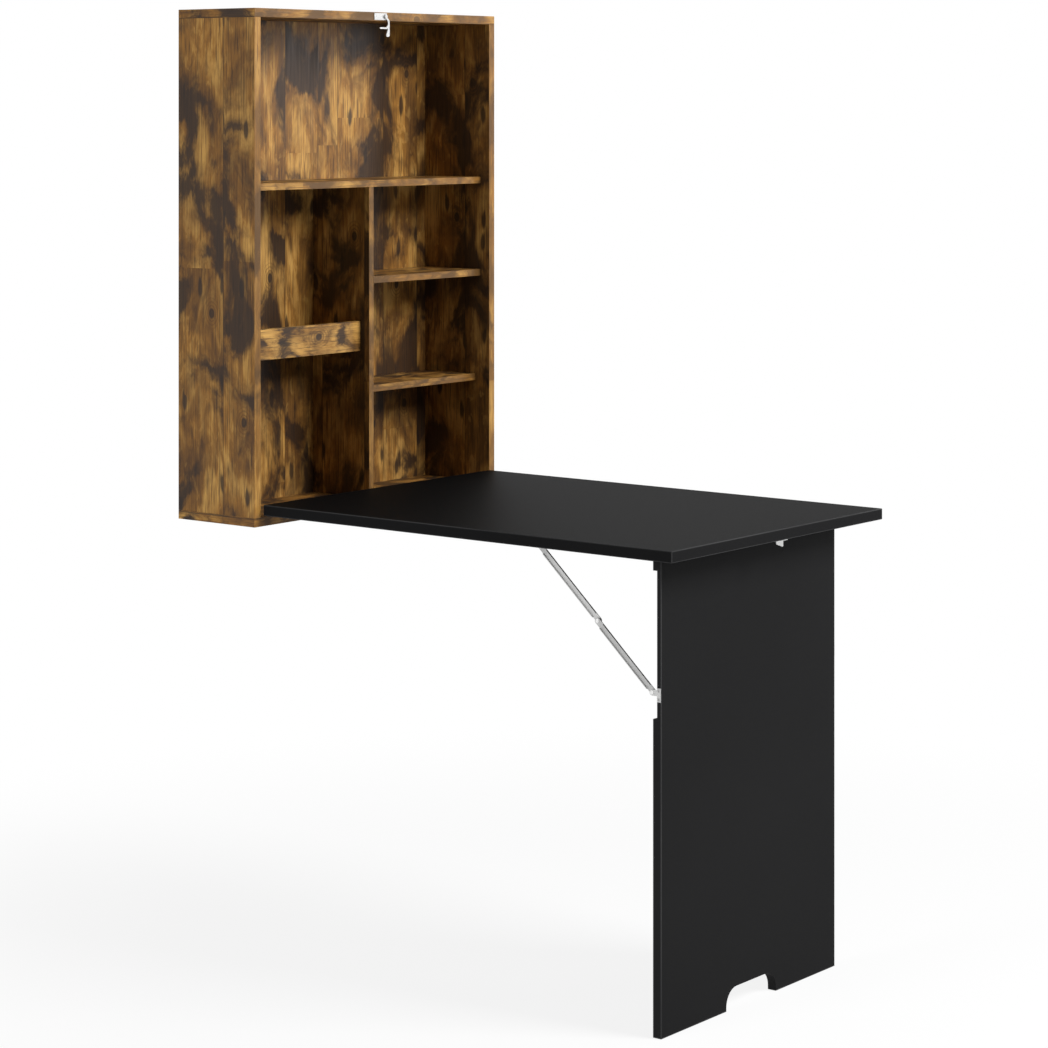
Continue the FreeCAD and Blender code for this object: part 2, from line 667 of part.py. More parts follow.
def hinge(row, number, x, y, z, way, sizes, fixed_seat, moving_seat):
    """One butt hinge that opens to a right angle.

    The fixed leaf runs towards the wall on a level seat, under the axis where way is 1
    and over it where way is -1. The moving leaf runs up (1) or down (-1) on an upright
    seat on the room side of the axis. Returns the leaves, the pin and the screws.
    """
    name = f"{row}_{number}"
    offset, barrel, pin_radius = sizes
    bare = f"({offset} + knuckle_gap)"
    reach = f"(hinge_leaf_width - {bare})"
    lug = f"({offset} - {barrel} + hinge_leaf)"
    left = f"{x} - hinge_length / 2"
    fixed = [
        block(
            f"{name}_fixed_plate", left, f"{y} + {bare}",
            span(z, -way, f"{offset} - hinge_leaf", offset),
            "hinge_length", reach, "hinge_leaf",
        )
    ]
    moving = [
        block(
            f"{name}_moving_plate", left, f"{y} - {offset}",
            span(z, way, bare, "hinge_leaf_width"),
            "hinge_length", "hinge_leaf", reach,
        )
    ]
    for leaf, knuckles in [(fixed, FIXED_KNUCKLES), (moving, MOVING_KNUCKLES)]:
        for start, end in knuckles:
            part = len(leaf)
            low = f"{left} + {start} + knuckle_gap / 2"
            length = f"{end} - {start} - knuckle_gap"
            if leaf is fixed:
                tab = block(
                    f"{name}_fixed_tab_{part}", low, y,
                    span(z, -way, f"{offset} - {lug}", offset), length, bare, lug,
                )
            else:
                tab = block(
                    f"{name}_moving_tab_{part}", low, f"{y} - {offset}",
                    span(z, way, "0", bare), length, lug, bare,
                )
            leaf += [tab, rod(f"{tab.Name}_barrel", low, y, z, "x", barrel, length)]
    bore = rod(f"{name}_bore", left, y, z, "x", f"{pin_radius} + pin_clear", "hinge_length")
    fixed_screws = []
    moving_screws = []
    for count, side in enumerate((-1, 1)):
        screw_x = f"{x} + {side} * leaf_screw_pitch / 2"
        fixed_screws.append(
            small_screw(
                f"{name}_fixed_screw_{count}", screw_x, f"{y} + leaf_screw_reach",
                f"{z} - {way} * ({offset} - hinge_leaf)",
                "-z" if way > 0 else "z", "hinge_leaf", fixed_seat, f"{row}_fixed_leaves",
            )
        )
        moving_screws.append(
            small_screw(
                f"{name}_moving_screw_{count}", screw_x, f"{y} - {offset} + hinge_leaf",
                f"{z} + {way} * leaf_screw_reach",
                "-y", "hinge_leaf", moving_seat, f"{row}_moving_leaves",
            )
        )
    return {
        "fixed_leaves": without(f"{name}_fixed_leaf", union(f"{name}_fixed_body", fixed), [bore]),
        "moving_leaves": without(f"{name}_moving_leaf", union(f"{name}_moving_body", moving), [bore]),
        "pins": rod(f"{name}_pin", left, y, z, "x", pin_radius, "hinge_length"),
        "fixed_screws": union(f"{name}_fixed_screws", fixed_screws),
        "moving_screws": union(f"{name}_moving_screws", moving_screws),
    }


def hinge_row(name, y, z, way, pitch, sizes, fixed_seat, moving_seat):
    """Three hinges in a row, as the nodes of their leaves, pins and screws."""
    hinges = [
        hinge(name, number, f"({step} * {pitch})", y, z, way, sizes, fixed_seat, moving_seat)
        for number, step in enumerate((-1, 0, 1))
    ]
    for kind in hinges[0]:
        node(f"{name}_{kind}", union(f"{name}_{kind}_set", [one[kind] for one in hinges]))


# ------------------------------------------------------------------- desktop and leg


def round_corners(body, sketch, radii):
    """Rounds the pad's edges that rise from the given corners of its sketch."""
    for radius in sorted(set(radii.values())):
        doc.recompute()
        tip = body.Tip
        line = sketch.Placement.Rotation.multVec(FreeCAD.Vector(0, 0, 1))
        corners = [
            sketch.Placement.multVec(sketch.Geometry[number].StartPoint)
            for number, wanted in radii.items()
            if wanted == radius
        ]
        names = []
        for number, edge in enumerate(tip.Shape.Edges, start=1):
            ends = [vertex.Point for vertex in edge.Vertexes]
            for corner in corners:
                if all((end - corner).cross(line).Length < 1e-4 for end in ends):
                    names.append(f"Edge{number}")
        fillet = body.newObject("PartDesign::Fillet", f"{body.Name}_{radius}")
        fillet.Base = (tip, names)
        bind(fillet, Radius=radius)
        body.Tip = fillet


def pocket(body, name, role, outline, depth, reverse):
    """A pocket of straight edges, cut from one of the body's own origin planes."""
    sketch = flat_sketch(body, f"{name}_sketch", role, outline)
    feature = body.newObject("PartDesign::Pocket", name)
    feature.Profile = sketch
    feature.Reversed = reverse
    bind(feature, Length=depth)
    body.Tip = feature
    return feature


def rectangle(low_x, low_y, high_x, high_y):
    """The four corners of a rectangle, as an outline."""
    return [(low_x, low_y), (high_x, low_y), (high_x, high_y), (low_x, high_y)]


def desktop():
    """The desktop, a slab with every edge slightly rounded."""
    body = doc.addObject("PartDesign::Body", "desktop_body")
    outline = rectangle(f"-{DESK_HALF}", DESK_END, DESK_HALF, DESK_REAR)
    sketch = flat_sketch(body, "desktop_outline", "XY_Plane", outline)
    pad = body.newObject("PartDesign::Pad", "desktop_pad")
    pad.Profile = sketch
    bind(pad, Length="desk_thick")
    doc.recompute()
    fillet = body.newObject("PartDesign::Fillet", "desktop_edges")
    fillet.Base = (pad, [f"Edge{number}" for number in range(1, len(pad.Shape.Edges) + 1)])
    bind(fillet, Radius="desk_edge_radius")
    body.Tip = fillet
    body.setExpression("Placement.Base.z", linked(up(DESK_UNDER)))
    node("desktop", body)


def leg_panel():
    """The leg panel: a board with a cut-out foot and a notch down each inner side edge."""
    body = doc.addObject("PartDesign::Body", "leg_body")
    length = f"({LEG_TOP} - {FLOOR})"
    gap = "foot_gap_width / 2"
    outline = [
        (f"-{LEG_HALF}", "0"),
        (f"-{gap}", "0"),
        (f"-{gap}", "foot_gap_height"),
        (gap, "foot_gap_height"),
        (gap, "0"),
        (LEG_HALF, "0"),
        (LEG_HALF, length),
        (f"-{LEG_HALF}", length),
    ]
    sketch = flat_sketch(body, "leg_outline", "XZ_Plane", outline)
    pad = body.newObject("PartDesign::Pad", "leg_pad")
    pad.Profile = sketch
    bind(pad, Length="leg_thick")
    body.Tip = pad
    round_corners(body, sketch, {2: "foot_gap_radius", 3: "foot_gap_radius"})
    low = f"{DESK_UNDER} - {NOTCH_BOTTOM} - {FLOOR}"
    high = f"{DESK_UNDER} - notch_top - {FLOOR}"
    for side, edge, wall in [
        ("left", f"-{LEG_HALF}", f"-{LEG_HALF} + {NOTCH_WIDTH}"),
        ("right", f"{LEG_HALF} - {NOTCH_WIDTH}", LEG_HALF),
    ]:
        pocket(
            body, f"{side}_notch", "XZ_Plane", rectangle(edge, low, wall, high), NOTCH_DEPTH, True
        )
    move(body, "0", LEG_INNER, FLOOR)
    node("leg_panel", body)


# ----------------------------------------------------------------------------- stays


def link(name, length):
    """A pressed stay link from its first pivot along +Y, its flanges towards -X."""
    half = "link_width / 2"
    parts = [
        block(f"{name}_web", "0", "0", f"-{half}", "link_sheet", length, "link_width", put)
    ]
    for number, y in enumerate(("0", length)):
        parts.append(rod(f"{name}_end_{number}", "0", y, "0", "x", half, "link_sheet", put))
    for number, z in enumerate((f"-{half}", f"{half} - link_sheet")):
        parts.append(
            block(
                f"{name}_flange_{number}", "-link_flange", "link_flat", z,
                "link_flange + link_sheet", f"{length} - 2 * link_flat", "link_sheet", put,
            )
        )
    holes = [
        rod(f"{name}_hole_{number}", "0", y, "0", "x", "stay_pin_radius + pin_clear", "link_sheet", put)
        for number, y in enumerate(("0", length))
    ]
    return without(f"{name}_plate", union(f"{name}_body", parts), holes)


def turned(thing, x, y, z, angle):
    """Puts a thing at a place, turned about X by an angle."""
    thing.Placement = FreeCAD.Placement(
        FreeCAD.Vector(), FreeCAD.Rotation(FreeCAD.Vector(1, 0, 0), 10)
    )
    thing.setExpression("Placement.Rotation.Angle", linked(angle))
    return move(thing, x, y, z)


def both_sides(name, left):
    """A node of a left piece and its mirror image."""
    node(name, union(f"{name}_pair", [left, mirrored(f"{name}_twin", left)]))


def stay_links():
    """Both links of each stay, straight, and the two halves of their middle rivet."""
    upper = turned(
        link("upper", UPPER_LINK), UPPER_WEB_X, DESK_PIVOT_Y, DESK_PIVOT_Z, f"180 deg + {STAY_ANGLE}"
    )
    lower = turned(link("lower", LOWER_LINK), LOWER_WEB_X, LEG_PIVOT_Y, LEG_PIVOT_Z, STAY_ANGLE)
    y = MIDDLE_PIVOT_Y
    z = MIDDLE_PIVOT_Z
    spacer_x = f"({LOWER_WEB_X} + link_sheet + link_gap / 2)"
    upper_rivet = union(
        "upper_rivet_body",
        [
            rod(
                "upper_rivet_spacer", spacer_x, y, z, "x", "stay_head_radius",
                f"{UPPER_WEB_X} - {spacer_x}",
            ),
            rod("upper_rivet_shank", UPPER_WEB_X, y, z, "x", "stay_pin_radius", "link_sheet"),
            rod(
                "upper_rivet_tail", f"{UPPER_WEB_X} + link_sheet", y, z, "x",
                "stay_head_radius", "stay_head_thick",
            ),
        ],
    )
    lower_rivet = union(
        "lower_rivet_body",
        [
            rod(
                "lower_rivet_head", f"{LOWER_WEB_X} - stay_head_thick", y, z, "x",
                "stay_head_radius", "stay_head_thick",
            ),
            rod("lower_rivet_shank", LOWER_WEB_X, y, z, "x", "stay_pin_radius", "link_sheet"),
        ],
    )
    for name, thing in [
        ("upper_link", upper),
        ("lower_link", lower),
        ("upper_rivet", upper_rivet),
        ("lower_rivet", lower_rivet),
    ]:
        node(f"left_{name}", thing)
        node(f"right_{name}", mirrored(f"right_{name}_twin", thing))


def desk_brackets():
    """Under the desktop: an angle plate with an ear for each stay, its pivot and screws."""
    ear_half = "(link_width / 2 - bracket_gap)"
    ear_x = DESK_EAR_X
    body = union(
        "desk_bracket_body",
        [
            block(
                "desk_bracket_plate", ear_x, f"{DESK_PIVOT_Y} - desk_plate_length / 2",
                f"{DESK_UNDER} - bracket_sheet",
                "desk_plate_width", "desk_plate_length", "bracket_sheet",
            ),
            block(
                "desk_bracket_ear", ear_x, f"{DESK_PIVOT_Y} - {ear_half}", DESK_PIVOT_Z,
                "bracket_sheet", f"2 * {ear_half}", LINK_DROP,
            ),
            rod("desk_bracket_end", ear_x, DESK_PIVOT_Y, DESK_PIVOT_Z, "x", ear_half, "bracket_sheet"),
        ],
    )
    hole = rod(
        "desk_bracket_hole", ear_x, DESK_PIVOT_Y, DESK_PIVOT_Z, "x",
        "stay_pin_radius + pin_clear", "bracket_sheet",
    )
    screws = []
    for number, side in enumerate((-1, 1)):
        screws.append(
            small_screw(
                f"desk_bracket_screw_{number}",
                f"{ear_x} + (desk_plate_width + bracket_sheet) / 2",
                f"{DESK_PIVOT_Y} + {side} * bracket_screw_pitch / 2",
                f"{DESK_UNDER} - bracket_sheet", "z", "bracket_sheet", "desk_bracket_holes",
            )
        )
    set_of_screws = union("desk_bracket_screw_set", screws)
    tools = cuts.pop("desk_bracket_holes")
    for tool in tools:
        drill(tool, "desktop")
        drill(mirrored(f"{tool.Name}_twin", tool), "desktop")
    both_sides("stay_desk_brackets", without("desk_bracket", body, [hole] + tools))
    both_sides("stay_desk_screws", set_of_screws)
    head_x = f"({UPPER_WEB_X} - link_gap / 5 - stay_head_thick)"
    pivot = union(
        "desk_pivot",
        [
            rod("desk_pivot_head", head_x, DESK_PIVOT_Y, DESK_PIVOT_Z, "x",
                "stay_head_radius", "stay_head_thick"),
            rod("desk_pivot_shank", head_x, DESK_PIVOT_Y, DESK_PIVOT_Z, "x",
                "stay_pin_radius", f"{ear_x} + bracket_sheet - {head_x}"),
            rod("desk_pivot_tail", f"{ear_x} + bracket_sheet", DESK_PIVOT_Y, DESK_PIVOT_Z, "x",
                "stay_head_radius", "stay_head_thick"),
        ],
    )
    both_sides("stay_desk_pivots", pivot)


def leg_brackets():
    """On each thin side edge of the leg: a plate with an ear, its pivot and its screws."""
    ear_half = "(link_width / 2 - bracket_gap)"
    edge_x = f"(-{LEG_HALF})"
    plate_x = f"({edge_x} - bracket_sheet)"
    plate_y = f"({LEG_OUTER} + leg_plate_edge)"
    plate_width = f"(leg_thick - {NOTCH_DEPTH} - 2 * leg_plate_edge)"
    plate_z = f"({LEG_PIVOT_Z} - leg_plate_drop)"
    body = union(
        "leg_bracket_body",
        [
            block(
                "leg_bracket_plate", plate_x, plate_y, f"{plate_z} - leg_plate_height / 2",
                "bracket_sheet", plate_width, "leg_plate_height",
            ),
            block(
                "leg_bracket_ear", plate_x, plate_y, f"{LEG_PIVOT_Z} - {ear_half}",
                "bracket_sheet", f"{LEG_PIVOT_Y} - {plate_y}", f"2 * {ear_half}",
            ),
            rod("leg_bracket_end", plate_x, LEG_PIVOT_Y, LEG_PIVOT_Z, "x", ear_half, "bracket_sheet"),
        ],
    )
    hole = rod(
        "leg_bracket_hole", plate_x, LEG_PIVOT_Y, LEG_PIVOT_Z, "x",
        "stay_pin_radius + pin_clear", "bracket_sheet",
    )
    screws = []
    for number, side in enumerate((-1, 1)):
        screws.append(
            small_screw(
                f"leg_bracket_screw_{number}", plate_x, f"{plate_y} + {plate_width} / 2",
                f"{plate_z} + {side} * leg_screw_pitch / 2",
                "x", "bracket_sheet", "leg_bracket_holes",
            )
        )
    set_of_screws = union("leg_bracket_screw_set", screws)
    tools = cuts.pop("leg_bracket_holes")
    for tool in tools:
        drill(tool, "leg_panel")
        drill(mirrored(f"{tool.Name}_twin", tool), "leg_panel")
    both_sides("stay_leg_brackets", without("leg_bracket", body, [hole] + tools))
    both_sides("stay_leg_screws", set_of_screws)
    end_x = f"({LOWER_WEB_X} + link_sheet + link_gap / 5)"
    pivot = union(
        "leg_pivot",
        [
            rod("leg_pivot_tail", f"{plate_x} - stay_head_thick", LEG_PIVOT_Y, LEG_PIVOT_Z, "x",
                "stay_head_radius", "stay_head_thick"),
            rod("leg_pivot_shank", plate_x, LEG_PIVOT_Y, LEG_PIVOT_Z, "x",
                "stay_pin_radius", f"{end_x} - {plate_x}"),
            rod("leg_pivot_spacer", edge_x, LEG_PIVOT_Y, LEG_PIVOT_Z, "x",
                "stay_head_radius", f"{LOWER_WEB_X} - link_gap / 5 - {edge_x}"),
        ],
    )
    both_sides("stay_leg_pivots", pivot)


# ----------------------------------------------------------------------------- latch


def latch():
    """The plate on the top board's front edge, its two screws, its pivot and the hook."""
    plate = block(
        "latch_plate_body", "-latch_plate_width / 2", PLATE_FRONT, f"{LATCH_Z} - latch_plate_height / 2",
        "latch_plate_width", "latch_sheet", "latch_plate_height",
    )
    screws = []
    for number, x in enumerate(("-latch_pivot_offset", "0")):
        screws.append(
            small_screw(
                f"latch_screw_{number}", x, PLATE_FRONT, LATCH_Z, "y", "latch_sheet",
                "latch_plate", "top_board",
            )
        )
    pin_x = "latch_pivot_offset"
    head_y = f"({HOOK_FRONT} - hook_gap)"
    depth = f"{FRONT} + latch_sheet - {head_y}"
    drill(
        rod("latch_pin_hole", pin_x, head_y, LATCH_Z, "y", "latch_pin_radius + dowel_clear", depth),
        "latch_plate", "top_board",
    )
    pivot = union(
        "latch_pivot_body",
        [
            rod("latch_pivot_shank", pin_x, head_y, LATCH_Z, "y", "latch_pin_radius", depth),
            rod("latch_pivot_head", pin_x, head_y, LATCH_Z, "-y",
                "latch_head_radius", "latch_head_thick"),
        ],
    )
    node("latch_plate", plate)
    node("latch_screws", union("latch_screw_set", screws))
    node("latch_pivot", pivot)


def latch_hook():
    """The hook: a hub, a bent arm, a prong to the left and a finger tab that widens."""
    body = doc.addObject("PartDesign::Body", "hook_body")
    arm = "hook_arm_width / 2"
    prong = "hook_prong_width / 2"
    tab = "hook_tab_width / 2"
    inner_x = f"hook_neck_x - {arm}"
    corners = [
        ("0", arm, None),
        (f"hook_elbow_x + {arm}", f"{arm} - hook_elbow_drop", "hook_elbow_round"),
        (f"hook_neck_x + {arm}", "-hook_neck_drop", None),
        (f"hook_tab_x + {tab}", "-hook_tab_drop", "hook_tab_round"),
        (f"hook_tab_x - {tab}", "-hook_tab_drop", "hook_tab_round"),
        (inner_x, "-hook_prong_drop", "hook_inner_round"),
        ("hook_bend_x", f"-hook_prong_drop - {prong}", None),
        ("-hook_prong_x", f"-hook_prong_drop - {prong}", "hook_tip_round"),
        ("-hook_prong_x", f"{prong} - hook_prong_drop", "hook_tip_round"),
        ("hook_bend_x", f"{prong} - hook_prong_drop", "hook_inner_round"),
        (inner_x, "-hook_neck_drop", "hook_inner_round"),
        (f"hook_elbow_x - {arm}", "-hook_elbow_drop", "hook_inner_round"),
        ("0", f"-{arm}", None),
    ]
    sheet_body(body, corners, "hook_sheet")
    drill(
        rod(
            "hook_bore", "latch_pivot_offset", HOOK_FRONT, LATCH_Z, "y",
            "latch_pin_radius + pin_clear", "hook_sheet",
        ),
        "latch_hook",
    )
    move(body, "latch_pivot_offset", f"{HOOK_FRONT} + hook_sheet", LATCH_Z)
    hub = rod("hook_hub", "latch_pivot_offset", HOOK_FRONT, LATCH_Z, "y", "hook_hub_radius", "hook_sheet")
    node("latch_hook", union("latch_hook_shape", [body, hub]))


def sheet_body(body, corners, thickness):
    """Pads an outline of (x, z, rounding) corners towards the room and rounds its corners."""
    outline = [(x, z) for x, z, rounding in corners]
    sketch = flat_sketch(body, f"{body.Name}_outline", "XZ_Plane", outline)
    pad = body.newObject("PartDesign::Pad", f"{body.Name}_pad")
    pad.Profile = sketch
    bind(pad, Length=thickness)
    body.Tip = pad
    radii = {number: rounding for number, (x, z, rounding) in enumerate(corners) if rounding}
    round_corners(body, sketch, radii)


def keeper():
    """The keeper under the desktop's free end: a plate with a bent-down tongue, and two screws."""
    y = f"({DESK_END} + keeper_edge + latch_plate_height / 2)"
    plate_z = f"({DESK_UNDER} - latch_sheet)"
    plate = block(
        "keeper_plate_body", "-latch_plate_width / 2", f"{y} - latch_plate_height / 2", plate_z,
        "latch_plate_width", "latch_plate_height", "latch_sheet",
    )
    tongue = doc.addObject("PartDesign::Body", "keeper_tongue")
    corners = [
        ("-keeper_left", "0", None),
        ("keeper_right", "0", None),
        ("keeper_right", "-keeper_reach", "keeper_round"),
        ("-keeper_left", "-keeper_low_reach", "keeper_round"),
    ]
    sheet_body(tongue, corners, "latch_sheet")
    move(tongue, "0", f"{y} - latch_plate_height / 2 + latch_sheet", DESK_UNDER)
    screws = [
        small_screw(
            f"keeper_screw_{number}", f"{side} * plate_screw_pitch / 2", y, plate_z, "z",
            "latch_sheet", "keeper_plate", "desktop",
        )
        for number, side in enumerate((-1, 1))
    ]
    node("keeper_plate", union("keeper_plate_shape", [plate, tongue]))
    node("keeper_screws", union("keeper_screw_set", screws))


# -------------------------------------------------------------------------- assembly
# Fasteners and hinges come first, because they note the holes that the boards get.

carcass_screws()
shelf_joints()
back_grooves()
hinge_row(
    "desk_hinge", DESK_AXIS_Y, DESK_AXIS_Z, 1, "desk_hinge_pitch",
    ("desk_hinge_offset", "desk_barrel_radius", "desk_pin_radius"), "bottom_board", "desktop",
)
hinge_row(
    "leg_hinge", LEG_AXIS_Y, LEG_AXIS_Z, -1, "leg_hinge_pitch",
    ("leg_hinge_offset", "leg_barrel_radius", "leg_pin_radius"), "desktop", "leg_panel",
)
desk_brackets()
leg_brackets()
latch()
latch_hook()
keeper()
cabinet_boards()
shelves()
wall_rails()
stay_links()
desktop()
leg_panel()
doc.recompute()

# ---------------------------------------------------------------------------- export


def faults():
    """Every object that didn't build, and every piece without a sound shape."""
    found = [thing.Name for thing in doc.Objects if set(thing.State) & {"Invalid", "Error"}]
    for name, piece in nodes.items():
        if piece.Shape.isNull() or not piece.Shape.isValid() or not piece.Shape.Solids:
            found.append(name)
    return found + [f"{name} was never cut" for name in cuts]


broken = faults()
if broken:
    raise RuntimeError(f"these pieces failed: {broken}")
os.makedirs("parts", exist_ok=True)
for name, piece in nodes.items():
    piece.Shape.exportStep(f"parts/{name}.step")
print(f"{len(nodes)} pieces written")
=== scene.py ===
import json
import math
from itertools import combinations

import bpy
from bpy.props import FloatProperty, FloatVectorProperty, PointerProperty
from mathutils import Matrix, Vector


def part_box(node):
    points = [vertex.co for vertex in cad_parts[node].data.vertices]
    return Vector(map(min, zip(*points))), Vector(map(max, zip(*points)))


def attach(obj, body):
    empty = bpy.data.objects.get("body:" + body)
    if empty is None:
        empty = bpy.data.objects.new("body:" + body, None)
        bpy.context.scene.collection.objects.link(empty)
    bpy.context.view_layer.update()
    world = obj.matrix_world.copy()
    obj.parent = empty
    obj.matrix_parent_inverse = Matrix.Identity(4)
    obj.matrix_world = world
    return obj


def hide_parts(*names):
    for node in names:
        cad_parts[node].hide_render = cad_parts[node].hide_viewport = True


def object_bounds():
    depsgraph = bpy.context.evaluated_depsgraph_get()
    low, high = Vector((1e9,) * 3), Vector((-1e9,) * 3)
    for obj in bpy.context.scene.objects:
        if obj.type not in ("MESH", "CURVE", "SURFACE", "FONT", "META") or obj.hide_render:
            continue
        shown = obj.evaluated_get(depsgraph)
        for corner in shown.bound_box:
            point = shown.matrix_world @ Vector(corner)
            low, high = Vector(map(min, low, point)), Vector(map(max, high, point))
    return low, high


bl_info = {
    "name": "Fold Down Wall Desk",
    "version": (1, 0, 0),
    "blender": (4, 5, 0),
    "location": "3D View > Sidebar > Wall Desk",
    "description": "Dresses the fold down wall desk: boards, metalwork, materials and studio",
    "category": "Object",
}

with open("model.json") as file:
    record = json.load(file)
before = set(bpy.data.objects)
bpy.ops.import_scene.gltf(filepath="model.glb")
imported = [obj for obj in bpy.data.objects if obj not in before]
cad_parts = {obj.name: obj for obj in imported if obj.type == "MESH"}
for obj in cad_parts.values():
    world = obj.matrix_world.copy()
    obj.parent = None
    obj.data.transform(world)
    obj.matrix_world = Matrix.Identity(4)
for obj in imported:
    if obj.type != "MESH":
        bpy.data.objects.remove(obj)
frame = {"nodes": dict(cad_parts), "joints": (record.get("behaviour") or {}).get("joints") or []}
NODES = frame["nodes"]
CAD_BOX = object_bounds()

# ----------------------------------------------------------------------- properties


def colour(name, description, default):
    """A colour property in linear light."""
    return FloatVectorProperty(
        name=name, description=description, default=default, subtype="COLOR", size=3, min=0, max=1
    )


def length(name, description, default):
    """A length property in metres."""
    return FloatProperty(name=name, description=description, default=default, unit="LENGTH")


class DeskFinishes(bpy.types.PropertyGroup):
    """Colours and scales of the finishes."""

    gold: colour("Gold", "Lightest streaks of the rustic boards", (0.57, 0.320, 0.085))
    amber: colour("Amber", "Main colour of the rustic boards", (0.305, 0.141, 0.028))
    umber: colour("Umber", "Middle brown of the rustic boards", (0.088, 0.040, 0.0125))
    char: colour("Char", "Dark blotches of the rustic boards", (0.020, 0.0120, 0.0085))
    band: colour("Edge band", "Edge band of the rustic boards", (0.25, 0.122, 0.026))
    black: colour("Black", "Melamine of the desktop and the leg", (0.0080, 0.0080, 0.0083))
    # A painted highlight: the pale colour along the black boards' rounded edges.
    edge_highlight: colour("Edge highlight", "Edges of the black boards", (0.046, 0.046, 0.047))
    zinc: colour("Zinc", "Plated steel of the stays and the latch", (0.58, 0.58, 0.575))
    pine: colour("Pine", "Plain rails behind the cabinet", (0.50, 0.33, 0.17))
    plank: length("Plank", "Usual width of the printed planks", 0.095)
    plank_length: length("Plank length", "Length of a plank's pieces", 0.52)
    knot: length("Knot spacing", "Usual distance between knots, across the grain", 0.05)
    knot_share: FloatProperty(name="Knots", description="Share of places with a knot", default=0.46)


class DeskSizes(bpy.types.PropertyGroup):
    """Roundings and small details."""

    board_edge: length("Board edge", "Rounding of the rustic boards' edges", 0.0005)
    desk_edge: length("Desktop edge", "Rounding of the desktop's edges", 0.0013)
    metal_edge: length("Metal edge", "Rounding of sheet metal edges", 0.00022)
    recess_width: length("Recess width", "Width of a screw's cross recess", 0.0007)
    recess_reach: length("Recess reach", "Length of each arm of the cross recess", 0.0017)
    recess_depth: length("Recess depth", "Depth of the cross recess", 0.0009)
    link_sheet: length("Link sheet", "Sheet thickness of a stay link", 0.0012)
    link_flat: length("Link flat", "Flat end of a link, from its pivot to its flanges", 0.011)
    link_bend: length("Link bend", "Outer rounding of a link's two bends", 0.0009)
    link_hole: length("Link hole", "Radius of a link's pivot holes", 0.00205)


class DeskStage(bpy.types.PropertyGroup):
    """Camera, lamps and surroundings."""

    eye: FloatVectorProperty(
        name="Eye", description="Place of the camera", default=(-3.9578, -3.5516, -0.0587),
        size=3, unit="LENGTH",
    )
    heading: FloatProperty(
        name="Heading", description="Turn of the camera from straight at the wall",
        default=math.radians(51.44), subtype="ANGLE",
    )
    focal: FloatProperty(name="Focal length", description="In millimetres", default=102.81)
    shift_x: FloatProperty(name="Shift X", description="Sideways shift of the frame", default=0.042)
    shift_y: FloatProperty(name="Shift Y", description="Upward shift of the frame", default=-0.4027)
    key_power: FloatProperty(name="Key", description="Power of the front softbox", default=250)
    side_power: FloatProperty(name="Side", description="Power of the right softbox", default=30)
    fill_power: FloatProperty(name="Fill", description="Power of the left softbox", default=70)
    ambient: FloatProperty(name="Ambient", description="Light of the surroundings", default=0.145)


# ------------------------------------------------------------------------ materials

# Marks of the rustic print: how many fit in a metre, across the grain and along it.
MARKS = {
    "fibre": (420.0, 9.0),
    "fray": (130.0, 5.0),
    "patch": (19.0, 7.0),
    "streak": (70.0, 10.0),
    "fleck": (58.0, 26.0),
    "cloud": (10.5, 7.5),
    "hair": (330.0, 14.0),
    "ringed knot": (4.2, 3.0),
}
# How far apart two boards are cut from the print, across the grain and along it.
CUT_STEP = (1.37, 0.83)
# A small knot's spacing across the grain, as a share of that along it.
KNOT_STRETCH = 0.34
# How far back the edge band reaches from a board's front.
BAND_DEPTH = 0.0011
# Where the painted highlight along a black board's edges begins and is full, inwards from its ends,
# in edge roundings.
EDGE_HIGHLIGHT_BAND = (1.6, 0.4)
# Where its edge tape, painted lighter partly as painted light, begins to end and has ended, inwards
# from its large faces.
TAPE_END = (0.0004, 0.0001)


def tinted(share, shade):
    """A colour made darker or lighter by a share."""
    return tuple(share * part for part in shade)


def between(share, first, second):
    """The colour a share of the way from the first to the second."""
    return tuple((1 - share) * one + share * two for one, two in zip(first, second))


